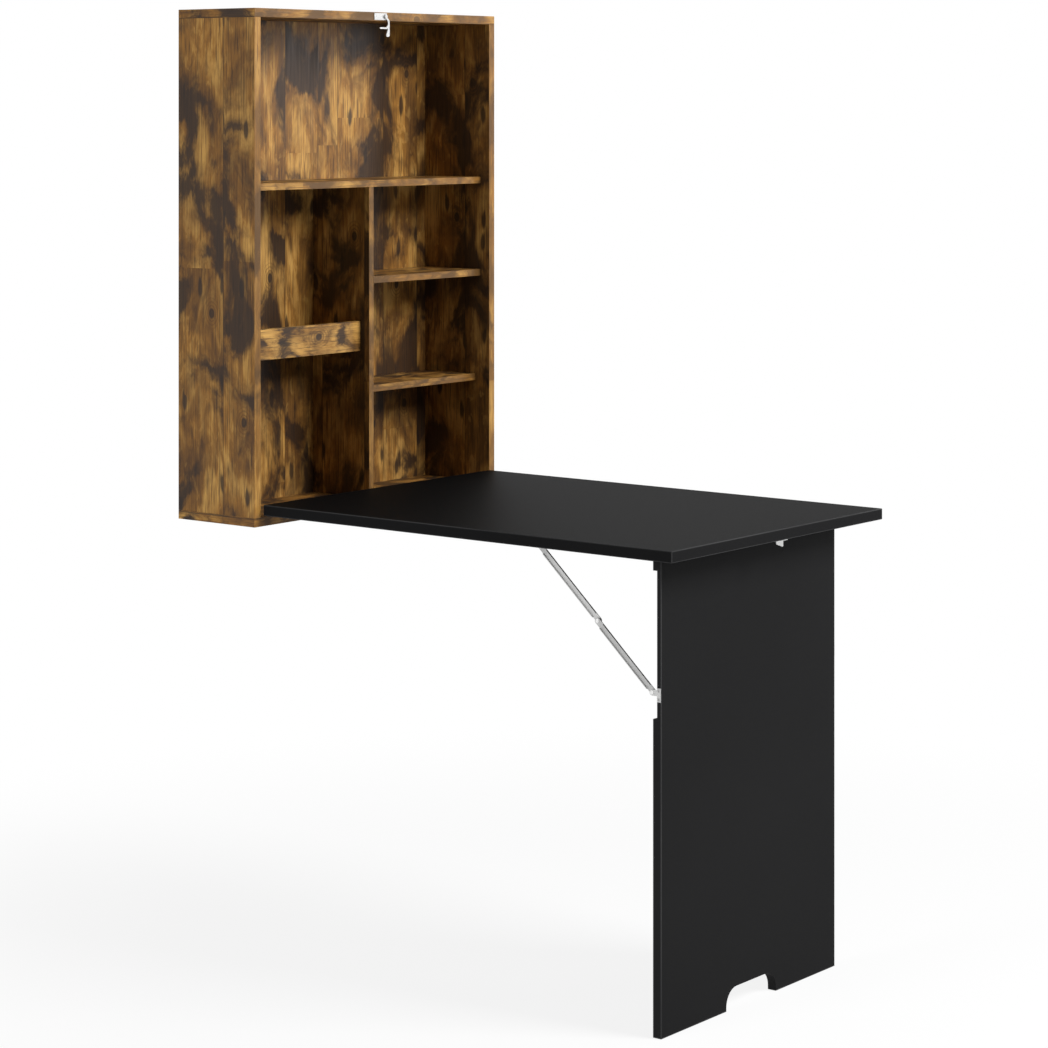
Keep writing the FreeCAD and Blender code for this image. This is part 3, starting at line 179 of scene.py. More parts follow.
class Shader:
    """The node tree of a material or a world, written as a chain of small steps."""

    def __init__(self, owner):
        self.owner = owner
        owner.use_nodes = True
        self.tree = owner.node_tree
        self.tree.nodes.clear()

    def add(self, kind, inputs=None, **options):
        """A node with its own options, and its inputs set or linked."""
        made = self.tree.nodes.new(kind)
        for key, value in options.items():
            setattr(made, key, value)
        for key, value in (inputs or {}).items():
            self.feed(made.inputs[key], value)
        return made

    def feed(self, socket, value):
        """Links an output to a socket, or sets the socket's value."""
        if isinstance(value, bpy.types.NodeSocket):
            self.tree.links.new(value, socket)
        else:
            socket.default_value = value

    def place(self, kind="Object"):
        """Where a point lies: in the object's own coordinates, or in its UV map."""
        return self.add("ShaderNodeTexCoord").outputs[kind]

    def axes(self, vector):
        """A vector's X, Y and Z."""
        return self.add("ShaderNodeSeparateXYZ", {0: vector}).outputs

    def channels(self, shade):
        """A colour's Red, Green and Blue."""
        return self.add("ShaderNodeSeparateColor", {0: shade}).outputs

    def math(self, operation, first, second=0.0, third=0.0):
        """One arithmetic step."""
        made = self.add("ShaderNodeMath", {0: first, 1: second, 2: third}, operation=operation)
        return made.outputs[0]

    def smooth(self, value, low, high, start=0.0, end=1.0):
        """A smooth step from start to end as the value goes from low to high."""
        made = self.add(
            "ShaderNodeMapRange",
            {"Value": value, "From Min": low, "From Max": high, "To Min": start, "To Max": end},
            interpolation_type="SMOOTHSTEP",
        )
        return made.outputs["Result"]

    def flat(self, u, v):
        """A point of a flat pattern."""
        return self.add("ShaderNodeCombineXYZ", {"X": u, "Y": v, "Z": 0.0}).outputs[0]

    def spread(self, u, u_scale, v, v_scale):
        """A point of a flat pattern, with each direction at its own scale."""
        return self.flat(self.math("MULTIPLY", u, u_scale), self.math("MULTIPLY", v, v_scale))

    def noise(self, vector, scale, detail, rough=0.5, distortion=0.0, dimensions="3D"):
        """A noise from 0 to 1."""
        made = self.add(
            "ShaderNodeTexNoise",
            {"Vector": vector, "Scale": scale, "Detail": detail, "Roughness": rough,
             "Distortion": distortion},
            noise_dimensions=dimensions,
        )
        return made.outputs["Fac"]

    def marks(self, kind, across, along, detail, rough, distortion=0.0, fine=1.0):
        """A flat noise of one kind of the print's marks. fine makes them smaller."""
        u_scale, v_scale = MARKS[kind]
        vector = self.spread(across, u_scale * fine, along, v_scale * fine)
        return self.noise(vector, 1.0, detail, rough, distortion, "2D")

    def cells(self, inputs, dimensions, **options):
        """A pattern of cells."""
        return self.add(
            "ShaderNodeTexVoronoi", inputs, voronoi_dimensions=dimensions, **options
        ).outputs

    def ramp(self, value, stops):
        """A colour ramp from (position, colour) pairs."""
        made = self.add("ShaderNodeValToRGB", {"Fac": value})
        slots = made.color_ramp.elements
        while len(slots) < len(stops):
            slots.new(0.5)
        for slot, (position, shade) in zip(slots, stops):
            slot.position = position
            slot.color = (*shade, 1)
        return made.outputs["Color"]

    def mix(self, amount, first, second):
        """A mix of two colours, each of them an output or a plain colour."""
        made = self.add("ShaderNodeMix", {"Factor": amount}, data_type="RGBA")
        for name, shade in (("A", first), ("B", second)):
            linked = isinstance(shade, bpy.types.NodeSocket)
            self.feed(made.inputs[name], shade if linked else (*shade, 1))
        return made.outputs["Result"]

    def bump(self, height, strength, distance):
        """A bumped normal."""
        made = self.add(
            "ShaderNodeBump", {"Height": height, "Strength": strength, "Distance": distance}
        )
        return made.outputs["Normal"]

    def seen(self):
        """1 for a ray from the camera, off a gloss or through glass, and 0 for any other."""
        rays = self.add("ShaderNodeLightPath").outputs
        seen = rays["Is Camera Ray"]
        for kind in ("Is Glossy Ray", "Is Transmission Ray"):
            seen = self.math("MAXIMUM", seen, rays[kind])
        return seen

    def finish(self, **inputs):
        """The surface shader and the output of a material."""
        named = {key.replace("_", " "): value for key, value in inputs.items()}
        surface = self.add("ShaderNodeBsdfPrincipled", named)
        self.add("ShaderNodeOutputMaterial", {"Surface": surface.outputs[0]})
        return self.owner


def print_place(pen, grain, seed):
    """Where a point lies on the print, across the grain and along it, in metres."""
    sheet = pen.axes(pen.place("UV"))
    sides = ("X", "Y") if grain == "Z" else ("Y", "X")
    return [pen.math("ADD", sheet[side], step * seed) for side, step in zip(sides, CUT_STEP)]


def planks(pen, across, along):
    """Planks of uneven width, cut into lengths.

    Gives a plank's own number from 0 to 1, that of each piece of it, and how dark the seams
    between the planks are.
    """
    looks = bpy.context.scene.desk_finishes
    rows = {"W": across, "Scale": 1 / looks.plank}
    tints = pen.channels(pen.cells(rows, "1D")["Color"])
    step = pen.math("MULTIPLY", along, 1 / looks.plank_length)
    lengths = pen.math("FLOOR", pen.math("MULTIPLY_ADD", tints["Green"], 7.0, step))
    piece = pen.add(
        "ShaderNodeTexWhiteNoise", {"Vector": pen.flat(tints["Blue"], lengths)},
        noise_dimensions="2D",
    ).outputs["Value"]
    edge = pen.cells(rows, "1D", feature="DISTANCE_TO_EDGE")["Distance"]
    return tints["Blue"], piece, pen.smooth(edge, 0.0, 0.018, 0.55, 0.0)


def small_knots(pen, across, along, fray):
    """The dark hearts and the golden rims of small knots, drawn out along the grain."""
    looks = bpy.context.scene.desk_finishes
    vector = pen.spread(across, 1 / looks.knot, along, KNOT_STRETCH / looks.knot)
    knots = pen.cells({"Vector": vector, "Scale": 1.0}, "2D")
    chosen = pen.math("LESS_THAN", pen.channels(knots["Color"])["Red"], looks.knot_share)
    ragged = pen.math("MULTIPLY_ADD", fray, 0.12, knots["Distance"])
    heart = pen.math("MULTIPLY", pen.smooth(ragged, 0.13, 0.20, 1.0, 0.0), chosen)
    rim = pen.math("MULTIPLY", pen.smooth(ragged, 0.18, 0.42, 1.0, 0.0), chosen)
    return heart, rim


def ringed_knots(pen, across, along, fray):
    """The hearts and the growth rings of a few round knots."""
    u_scale, v_scale = MARKS["ringed knot"]
    vector = pen.spread(across, u_scale, along, v_scale)
    knots = pen.cells({"Vector": vector, "Scale": 1.0, "Randomness": 0.9}, "2D")
    ring = pen.math("MULTIPLY_ADD", fray, 0.012, knots["Distance"])
    waves = pen.math("SINE", pen.math("MULTIPLY", ring, 320.0))
    faded = pen.smooth(ring, 0.04, 0.12, 0.60, 0.0)
    rings = pen.math("MULTIPLY", pen.smooth(waves, -0.2, 1.0), faded)
    return pen.smooth(ring, 0.024, 0.040, 1.0, 0.0), rings


def rustic(name, grain, seed, front=None, lift=0.0, fine=1.0):
    """Printed rustic wood: planks, soft charred blotches, golden streaks, pores and knots.

    grain is the row axis that the planks run along. front is the Y of the board's front
    edge, where the edge band starts. lift turns the whole print more golden, and fine makes
    its charred clouds smaller.
    """
    looks = bpy.context.scene.desk_finishes
    pen = Shader(bpy.data.materials.new(name))
    across, along = print_place(pen, grain, seed)

    # The grain's fine lines, and the noise that frays the ends of every larger mark.
    fibre = pen.marks("fibre", across, along, 4.0, 0.65)
    fray = pen.marks("fray", across, along, 3.0, 0.6)
    frayed = pen.math("MULTIPLY_ADD", fray, 0.022, along)

    # Every piece of a plank has its own stretch of the pattern and its own tone.
    plank, piece, seam = planks(pen, across, along)
    piece_u = pen.math("MULTIPLY_ADD", piece, 3.0, across)
    piece_v = pen.math("MULTIPLY_ADD", piece, 5.0, frayed)
    patch = pen.marks("patch", piece_u, piece_v, 4.0, 0.57, 0.6)
    streak = pen.marks("streak", piece_u, piece_v, 4.0, 0.6)
    heart, rim = small_knots(pen, across, pen.math("MULTIPLY_ADD", plank, 0.9, frayed), fray)
    tone = pen.math("MULTIPLY_ADD", patch, 0.72, lift)
    for mark, weight in ((streak, 0.30), (piece, 0.05), (fibre, 0.14), (rim, 0.10)):
        tone = pen.math("MULTIPLY_ADD", mark, weight, tone)
    surface = pen.ramp(tone, [
        (0.40, looks.umber), (0.52, between(0.5, looks.umber, looks.amber)),
        (0.60, looks.amber), (0.68, between(0.55, looks.amber, looks.gold)),
        (0.76, looks.gold),
    ])

    # Golden flecks where the surface has been rubbed.
    fleck = pen.marks("fleck", piece_u, piece_v, 3.0, 0.6, 0.4)
    surface = pen.mix(pen.smooth(fleck, 0.57, 0.66, 0.0, 0.38), surface, looks.gold)

    # Soft charred clouds, wider than a plank but often cut off at its edge.
    cloud_v = pen.math("MULTIPLY_ADD", plank, 0.17, frayed)
    cloud = pen.marks("cloud", across, cloud_v, 5.0, 0.58, 0.4, fine)
    surface = pen.mix(pen.smooth(cloud, 0.36, 0.57, 0.0, 0.66), surface, looks.umber)
    surface = pen.mix(pen.smooth(cloud, 0.50, 0.62, 0.0, 0.92), surface, looks.char)

    # Pores, fibres, seams and knots lie over the clouds.
    hair = pen.marks("hair", piece_u, piece_v, 2.0, 0.5)
    pupil, rings = ringed_knots(pen, across, along, fray)
    for amount, shade in [
        (pen.smooth(hair, 0.58, 0.70, 0.0, 0.62), looks.char),
        (pen.smooth(fibre, 0.35, 0.62, 0.30, 0.0), looks.umber),
        (seam, looks.char),
        (pen.math("MULTIPLY", heart, 0.85), looks.char),
        (rings, looks.umber),
        (pen.math("MULTIPLY", pupil, 0.85), looks.char),
    ]:
        surface = pen.mix(amount, surface, shade)
    if front is not None:
        band = pen.math("LESS_THAN", pen.axes(pen.place())["Y"], front + BAND_DEPTH)
        surface = pen.mix(pen.math("MULTIPLY", band, 0.30), surface, looks.band)
    height = pen.math("SUBTRACT", fibre, pen.math("MULTIPLY", seam, 0.5))
    return pen.finish(
        Base_Color=surface,
        Roughness=pen.smooth(fibre, 0.3, 0.8, 0.36, 0.52),
        Specular_IOR_Level=0.22,
        Normal=pen.bump(height, 0.12, 0.0004),
    )


def black_melamine(name, node, facing, depth, tape_and_light, sheen):
    """Black melamine with a fine pearl texture, and a painted highlight a little paler along its
    edges.

    facing is the axis that the large faces look along. depth scales their colour, tape_and_light
    that of the tape round them, and sheen is their specular level. Besides the tape's own tone,
    these two scales hold painted light and shade, set board by board: painted shade on the
    desktop's top, painted light on the tape faces.
    """
    looks = bpy.context.scene.desk_finishes
    sizes = bpy.context.scene.desk_sizes
    pen = Shader(bpy.data.materials.new(name))
    place = pen.place()
    pearl = pen.noise(place, 900.0, 2.0)
    cloud = pen.noise(place, 3.0, 3.0)
    # A tape colour and a face colour of the black, set apart partly by painted light and shade.
    shades = []
    for share in (tape_and_light, depth):
        black = tinted(share, looks.black)
        shade = pen.ramp(cloud, [(0.3, tinted(0.93, black)), (0.7, tinted(1.07, black))])
        pearls = pen.smooth(pearl, 0.55, 0.75, 0.0, 0.25)
        shades.append(pen.mix(pearls, shade, tinted(1.9, black)))

    # How near a point is to the board's ends along each axis. Two of them meet at an edge.
    sides = pen.axes(place)
    low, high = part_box(node)
    nearest = {}
    for index, axis in enumerate("XYZ"):
        middle = (low[index] + high[index]) / 2
        half = (high[index] - low[index]) / 2
        off = pen.math("ABSOLUTE", pen.math("SUBTRACT", sides[axis], middle))
        nearest[axis] = pen.smooth(off, *(half - share * sizes.desk_edge for share in EDGE_HIGHLIGHT_BAND))
        if axis == facing:
            surface = pen.mix(pen.smooth(off, *(half - end for end in TAPE_END)), *shades)
    # A painted highlight where two ends meet along an edge, broken up by the clouds.
    edge_highlight = 0.0
    for one, two in combinations(nearest.values(), 2):
        edge_highlight = pen.math("MAXIMUM", edge_highlight, pen.math("MULTIPLY", one, two))
    edge_highlight = pen.math("MULTIPLY", edge_highlight, pen.smooth(cloud, 0.3, 0.6, 0.6, 1.0))
    return pen.finish(
        Base_Color=pen.mix(edge_highlight, surface, looks.edge_highlight),
        Roughness=pen.smooth(pearl, 0.3, 0.7, 0.50, 0.60),
        Specular_IOR_Level=sheen,
        Normal=pen.bump(pearl, 0.10, 0.0003),
    )


def plated_steel(name, rough=0.40, dark=1.0, grain=(1.0, 1.0, 1.0)):
    """Zinc-plated steel: faint drawing lines, spangle and dull patches.

    rough is the least roughness and dark scales the colour. grain scales the drawing lines
    along each axis, and a small number draws them out.
    """
    pen = Shader(bpy.data.materials.new(name))
    place = pen.place()
    drawn = pen.add("ShaderNodeMapping", {"Vector": place, "Scale": grain}).outputs[0]
    lines = pen.noise(drawn, 260.0, 4.0, 0.6)
    dull = pen.noise(place, 60.0, 3.0)
    crystals = pen.cells({"Vector": place, "Scale": 420.0}, "3D")
    spangle = pen.channels(crystals["Color"])["Red"]
    tone = pen.math("MULTIPLY_ADD", spangle, 0.12, pen.math("MULTIPLY", lines, 0.50))
    tone = pen.math("MULTIPLY_ADD", dull, 0.36, tone)
    base = tinted(dark, bpy.context.scene.desk_finishes.zinc)
    return pen.finish(
        Base_Color=pen.ramp(tone, [(0.2, tinted(0.82, base)), (0.8, base)]),
        Metallic=0.6,
        Roughness=pen.smooth(tone, 0.2, 0.8, rough + 0.12, rough),
        Normal=pen.bump(lines, 0.02, 0.0001),
    )


def plain_pine(name, grain):
    """Planed wood for rails and dowels, with long grain and growth lines.

    grain scales the pattern along each axis, and a small number draws it out.
    """
    pine = bpy.context.scene.desk_finishes.pine
    pen = Shader(bpy.data.materials.new(name))
    drawn = pen.add("ShaderNodeMapping", {"Vector": pen.place(), "Scale": grain}).outputs[0]
    rings = pen.noise(drawn, 24.0, 3.0, distortion=1.2)
    lines = pen.math("SINE", pen.math("MULTIPLY", rings, 70.0))
    pores = pen.noise(drawn, 320.0, 3.0)
    tone = pen.math("MULTIPLY_ADD", lines, 0.22, pen.math("MULTIPLY", pores, 0.9))
    return pen.finish(
        Base_Color=pen.ramp(tone, [(0.15, tinted(0.62, pine)), (0.8, tinted(1.12, pine))]),
        Roughness=pen.smooth(pores, 0.3, 0.7, 0.55, 0.72),
        Normal=pen.bump(pores, 0.15, 0.0004),
    )


def dress(piece, material):
    """Gives a piece one material all over."""
    piece.data.materials.clear()
    piece.data.materials.append(material)


def dress_node(name, material):
    """Gives a kept CAD node its finished material."""
    for slot in NODES[name].material_slots:
        slot.material = material


# ------------------------------------------------------------------ modelling helpers

SMOOTH_ANGLE = math.radians(40)  # shallower angles are shaded round
SHARP_ANGLE = math.radians(35)  # edges sharper than this are eased
FLAT_ANGLE = math.radians(1)  # faces that meet more flatly than this become one
MERGE_DISTANCE = 0.000002  # points nearer than this become one
NEAR = 1e-5  # within this, a point counts as lying in a plane
POINT_GRID = 1e5  # steps in a metre: points in the same step count as one
END_ZONE = 1e-4  # how far from a screw's end a point still belongs to that end
UPRIGHT = 0.9  # a face looks up if its normal's Z is above this
ROUND_END = 0.4999  # bevel that rounds a strip's end, as a share of its width
SCREW_SIDES = 40  # sides of a screw's head and shank
HOLE_SIDES = 32  # sides of a pivot hole

# A screw's head is this deep if its radius is below that of a wide head. The shank under a
# wide head has a radius of its own.
HEAD_DEPTH = 0.0014
WIDE_HEAD = 0.004
WIDE_SHANK = 0.003
# The head radius that the recess sizes are meant for. They grow with the head.
RECESS_HEAD = 0.0028


def clear_selection():
    """Leaves nothing selected."""
    if bpy.context.object and bpy.context.object.mode != "OBJECT":
        bpy.ops.object.mode_set(mode="OBJECT")
    bpy.ops.object.select_all(action="DESELECT")


def pick(piece):
    """Selects one piece alone and makes it the active one."""
    clear_selection()
    piece.select_set(True)
    bpy.context.view_layer.objects.active = piece


def edit(piece, kind="EDGE", chosen="SELECT"):
    """Opens a piece for editing with everything or nothing selected."""
    pick(piece)
    bpy.ops.object.mode_set(mode="EDIT")
    bpy.ops.mesh.select_mode(type=kind)
    bpy.ops.mesh.select_all(action=chosen)


def settle(piece):
    """Moves a piece's place, turn and size into its mesh."""
    pick(piece)
    bpy.ops.object.transform_apply(location=True, rotation=True, scale=True)


def bevel(rounding, segments, clamp=False):
    """Rounds the selected edges, if wanted no further than their faces allow."""
    bpy.ops.mesh.bevel(
        offset=rounding, offset_type="OFFSET", segments=segments, affect="EDGES",
        clamp_overlap=clamp,
    )


def smooth_shading(piece):
    """Smooths shallow angles, and keeps the large flat faces flat beside a rounded edge."""
    pick(piece)
    bpy.ops.object.shade_smooth_by_angle(angle=SMOOTH_ANGLE)
    flat = piece.modifiers.new("flat faces", "WEIGHTED_NORMAL")
    flat.keep_sharp = True
    bpy.ops.object.modifier_apply(modifier=flat.name)


def close_edit(piece):
    """Closes editing, settles the place in the mesh and smooths the shading."""
    bpy.ops.object.mode_set(mode="OBJECT")
    settle(piece)
    smooth_shading(piece)


def join(pieces, name):
    """Joins pieces into one with the given name."""
    clear_selection()
    for piece in pieces:
        piece.select_set(True)
    bpy.context.view_layer.objects.active = pieces[0]
    if len(pieces) > 1:
        bpy.ops.object.join()
    joined = bpy.context.view_layer.objects.active
    joined.name = name
    return joined


def block(size, centre):
    """A box of a size about a centre, ready to be shaped."""
    clear_selection()
    bpy.ops.mesh.primitive_cube_add(size=1, location=centre)
    piece = bpy.context.object
    piece.scale = size
    settle(piece)
    return piece


def slab(name, node, rounding):
    """A board in a node's place, with its edges rounded and a UV map in metres."""
    low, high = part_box(node)
    piece = block(high - low, (low + high) / 2)
    piece.name = name
    edit(piece)
    bevel(rounding, segments=3)
    bpy.ops.mesh.select_all(action="SELECT")
    bpy.ops.uv.cube_project(cube_size=1, correct_aspect=False)
    close_edit(piece)
    return piece


def merged(name, node):
    """A copy of a node with its split points merged, left open for editing."""
    clear_selection()
    piece = bpy.data.objects.new(name, NODES[node].data.copy())
    bpy.context.scene.collection.objects.link(piece)
    pick(piece)
    bpy.ops.mesh.customdata_custom_splitnormals_clear()
    edit(piece)
    bpy.ops.mesh.remove_doubles(threshold=MERGE_DISTANCE)
    return piece


def eased(name, node, rounding):
    """A copy of a node with its sharp edges eased."""
    piece = merged(name, node)
    bpy.ops.mesh.dissolve_limited(angle_limit=FLAT_ANGLE)
    bpy.ops.mesh.normals_make_consistent(inside=False)
    bpy.ops.mesh.select_all(action="DESELECT")
    bpy.ops.mesh.edges_select_sharp(sharpness=SHARP_ANGLE)
    bevel(rounding, segments=2, clamp=True)
    close_edit(piece)
    return piece


def select_edges(piece, wanted):
    """Opens a piece with only the edges selected whose two end points pass a test."""
    edit(piece, chosen="DESELECT")
    bpy.ops.object.mode_set(mode="OBJECT")
    points = piece.data.vertices
    for edge in piece.data.edges:
        edge.select = wanted(*(points[index].co for index in edge.vertices))
    bpy.ops.object.mode_set(mode="EDIT")


def combine(piece, tool, operation):
    """Adds a tool to a piece or cuts it out, and takes the tool away."""
    pick(piece)
    step = piece.modifiers.new("combine", "BOOLEAN")
    step.operation = operation
    step.object = tool
    step.solver = "EXACT"
    bpy.ops.object.modifier_apply(modifier=step.name)
    bpy.data.objects.remove(tool)


def claim(piece, body, node):
    """Ties a piece to its body and hides the node it stands for."""
    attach(piece, body)
    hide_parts(node)


def link_strip(reach, width):
    """A link's flat web, from its first pivot at the origin along +Y, with round ends."""
    sheet = bpy.context.scene.desk_sizes.link_sheet
    piece = block((sheet, reach + width, width), (sheet / 2, reach / 2, 0))
    select_edges(piece, lambda one, two: abs(one.x - two.x) > sheet - NEAR)
    bevel(ROUND_END * width, segments=12)
    bpy.ops.object.mode_set(mode="OBJECT")
    return piece


def link_flanges(piece, reach, width, depth):
    """Folds two flanges up along a strip's sides, short of its flat ends."""
    sizes = bpy.context.scene.desk_sizes
    sheet = sizes.link_sheet
    for side in (-1, 1):
        flange = block(
            (depth, reach - 2 * sizes.link_flat, sheet),
            (sheet - depth / 2, reach / 2, side * (width - sheet) / 2),
        )
        combine(piece, flange, "UNION")


def link_holes(piece, reach):
    """Cuts a link's two pivot holes."""
    sizes = bpy.context.scene.desk_sizes
    sheet = sizes.link_sheet
    for y in (0, reach):
        clear_selection()
        bpy.ops.mesh.primitive_cylinder_add(
            vertices=HOLE_SIDES, radius=sizes.link_hole, depth=4 * sheet,
            location=(sheet / 2, y, 0), rotation=(0, math.pi / 2, 0),
        )
        drill = bpy.context.object
        settle(drill)
        combine(piece, drill, "DIFFERENCE")


def link_bends(piece, reach, width):
    """Rounds the outside of a link's two bends."""
    sizes = bpy.context.scene.desk_sizes
    shortest = reach - 2 * (sizes.link_flat + NEAR)

    def is_bend(one, two):
        outside = min(one.x, two.x) > sizes.link_sheet - NEAR
        at_side = min(abs(one.z), abs(two.z)) > width / 2 - NEAR
        return outside and at_side and abs(one.y - two.y) > shortest

    select_edges(piece, is_bend)
    bevel(sizes.link_bend, segments=4)
    bpy.ops.object.mode_set(mode="OBJECT")


def model_link(name, node, start, end):
    """A pressed channel from pivot to pivot, with flat, round and pierced ends."""
    low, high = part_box(node)
    width = 2 * min(high.z - max(start.z, end.z), min(start.z, end.z) - low.z)
    way = end - start
    reach = way.length
    piece = link_strip(reach, width)
    link_flanges(piece, reach, width, high.x - low.x)
    link_holes(piece, reach)
    link_bends(piece, reach, width)

    # The channels open away from the desk's middle, so the right ones are turned over.
    sheet = bpy.context.scene.desk_sizes.link_sheet
    turn = Matrix.Rotation(math.atan2(way.z, way.y), 4, "X")
    web = high.x - sheet
    if start.x > 0:
        turn = turn @ Matrix.Rotation(math.pi, 4, "Y")
        web = low.x + sheet
    piece.data.transform(Matrix.Translation((web, start.y, start.z)) @ turn)
    piece.name = name
    smooth_shading(piece)
    return piece


def islands(node):
    """The points of each separate solid of a node."""
    mesh = NODES[node].data
    where = {}
    for vertex in mesh.vertices:
        key = tuple(round(value * POINT_GRID) for value in vertex.co)
        where.setdefault(key, []).append(vertex.index)
    owner = list(range(len(mesh.vertices)))

    def root(index):
        while owner[index] != index:
            owner[index] = owner[owner[index]]
            index = owner[index]
        return index

    for same in where.values():
        for index in same[1:]:
            owner[root(index)] = root(same[0])
    for edge in mesh.edges:
        owner[root(edge.vertices[0])] = root(edge.vertices[1])
    groups = {}
    for vertex in mesh.vertices:
        groups.setdefault(root(vertex.index), []).append(vertex.co.copy())
    return list(groups.values())


def screw_axis(points):
    """Where a screw's head is flush, the way it is driven, its length and head radius."""
    low = Vector([min(point[axis] for point in points) for axis in range(3)])
    high = Vector([max(point[axis] for point in points) for axis in range(3)])
    middle = (low + high) / 2
    size = high - low
    axis = max(range(3), key=lambda number: size[number])
    side = (axis + 1) % 3

    def radius_at(end):
        zone = [point for point in points if abs(point[axis] - end[axis]) < END_ZONE]
        return max(abs(point[side] - middle[side]) for point in zone)

    low_radius = radius_at(low)
    high_radius = radius_at(high)
    drive = Vector((0, 0, 0))
    drive[axis] = 1 if low_radius > high_radius else -1
    head = middle.copy()
    head[axis] = low[axis] if drive[axis] > 0 else high[axis]
    return head, drive, size[axis], max(low_radius, high_radius)


def model_screw(name, radius, shank, reach):
    """A countersunk screw driven along -Z from the origin, with a cross recess."""
    sizes = bpy.context.scene.desk_sizes
    clear_selection()
    bpy.ops.mesh.primitive_cylinder_add(
        vertices=SCREW_SIDES, radius=shank, depth=reach, location=(0, 0, -reach / 2)
    )
    body = bpy.context.object
    settle(body)
    edit(body, kind="FACE", chosen="DESELECT")
    bpy.ops.object.mode_set(mode="OBJECT")
    for face in body.data.polygons:
        face.select = face.normal.z > UPRIGHT
    bpy.ops.object.mode_set(mode="EDIT")
    depth = radius - shank
    bpy.ops.transform.translate(value=(0, 0, -depth))
    bpy.ops.mesh.extrude_region_move(TRANSFORM_OT_translate={"value": (0, 0, depth)})
    bpy.ops.transform.resize(value=(radius / shank, radius / shank, 1))
    bpy.ops.object.mode_set(mode="OBJECT")
    width = sizes.recess_width * radius / RECESS_HEAD
    span = 2 * sizes.recess_reach * radius / RECESS_HEAD
    for x_size, y_size in ((width, span), (span, width)):
        recess = block((x_size, y_size, 2 * sizes.recess_depth), (0, 0, 0))
        combine(body, recess, "DIFFERENCE")
    body.name = name
    return body


def screws(name, node, body, material):
    """Cross-recessed screws in place of a node's plain ones."""
    plain = [screw_axis(points) for points in islands(node)]
    reach, radius = plain[0][2:]
    shank = radius - HEAD_DEPTH if radius < WIDE_HEAD else WIDE_SHANK
    master = model_screw(f"{name}_master", radius, shank, reach)
    placed = []
    for head, drive, *_ in plain:
        copy = master.copy()
        copy.data = master.data.copy()
        bpy.context.scene.collection.objects.link(copy)
        turn = drive.to_track_quat("-Z", "Y").to_matrix().to_4x4()
        copy.data.transform(Matrix.Translation(head) @ turn)
        placed.append(copy)
    bpy.data.objects.remove(master)
    piece = join(placed, name)
    smooth_shading(piece)
    dress(piece, material)
    claim(piece, body, node)


# ------------------------------------------------------------------------ operators

WHITE = (1, 1, 1, 1)
# The floor's size, where its middle lies, its gap below the desk, and its colour.
FLOOR_SIZE = 30
FLOOR_Y = -0.5
FLOOR_GAP = 0.0005
FLOOR_COLOUR = (0.86, 0.86, 0.86, 1)
# The middle of the desk's shadow. Within the first distance from it this share of the floor
# glows white, and beyond the second all of it.
SHADOW_Y = -0.7
SHADOW_REACH = (0.7, 2.0)
SHADOW_WHITE = 0.86
# The point that the softboxes face.
LAMP_TARGET = Vector((0, -0.45, -0.5))


def finished():
    """The result every operator gives when it is done."""
    clear_selection()
    return {"FINISHED"}


class WALL_DESK_OT_boards(bpy.types.Operator):
    """Builds the rustic boards of the cabinet, its shelves and its back."""

    bl_idname = "wall_desk.boards"
    bl_label = "Cabinet Boards"

    def execute(self, context):
        sizes = context.scene.desk_sizes
        # Each board's grain, and the number of its cut from the print.
        boards = [
            ("left_side", "Z", 14), ("right_side", "Z", 2), ("divider", "Z", 3),
            ("back_panel", "Z", 4), ("top_board", "X", 5), ("bottom_board", "X", 6),
            ("upper_shelf", "X", 7), ("right_upper_shelf", "X", 8),
            ("right_lower_shelf", "X", 9), ("left_shelf", "X", 10), ("retaining_rail", "X", 11),
        ]
        for node, grain, seed in boards:
            front = None if node in ("back_panel", "retaining_rail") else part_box(node)[0].y
            lift = 0.08 if node == "retaining_rail" else 0.0
            fine = 2.2 if grain == "X" else 1.0
            material = rustic(f"rustic_{node}", grain, seed, front, lift, fine)
            piece = slab(f"{node}_board", node, sizes.board_edge)
            dress(piece, material)
            claim(piece, "cabinet", node)
        return finished()


class WALL_DESK_OT_desktop(bpy.types.Operator):
    """Builds the black desktop and leg panel."""

    bl_idname = "wall_desk.desktop"
    bl_label = "Desktop and Leg"

    def execute(self, context):
        sizes = context.scene.desk_sizes
        top = slab("desktop_slab", "desktop", sizes.desk_edge)
        # The desktop's top is painted dark as painted shade, and its tape lighter, partly as
        # painted light.
        dress(top, black_melamine(
            "black_desktop", "desktop", facing="Z", depth=0.28, tape_and_light=1.15, sheen=0.0205
        ))
        claim(top, "desktop", "desktop")
        leg = eased("leg_panel_board", "leg_panel", sizes.board_edge)
        # The leg's tape is painted lighter than its faces, partly as painted light.
        dress(leg, black_melamine(
            "black_leg", "leg_panel", facing="Y", depth=1.12, tape_and_light=1.9, sheen=0.035
        ))
        claim(leg, "leg", "leg_panel")
        return finished()


class WALL_DESK_OT_rails(bpy.types.Operator):
    """Finishes the wall rails, dowels and cams."""

    bl_idname = "wall_desk.rails"
    bl_label = "Wall Rails and Joints"

    def execute(self, context):
        pine = plain_pine("planed_pine", grain=(0.06, 1.0, 1.0))
        for node in ("hanging_rail", "wall_strip", "spacer_rail"):
            dress_node(node, pine)
        dress_node("shelf_dowels", plain_pine("beech_dowel", grain=(0.3, 1.0, 1.0)))
        cast = plated_steel("cast_cam", rough=0.42, dark=0.8)
        for node in ("shelf_cams", "shelf_cam_bolts"):
            dress_node(node, cast)
        return finished()


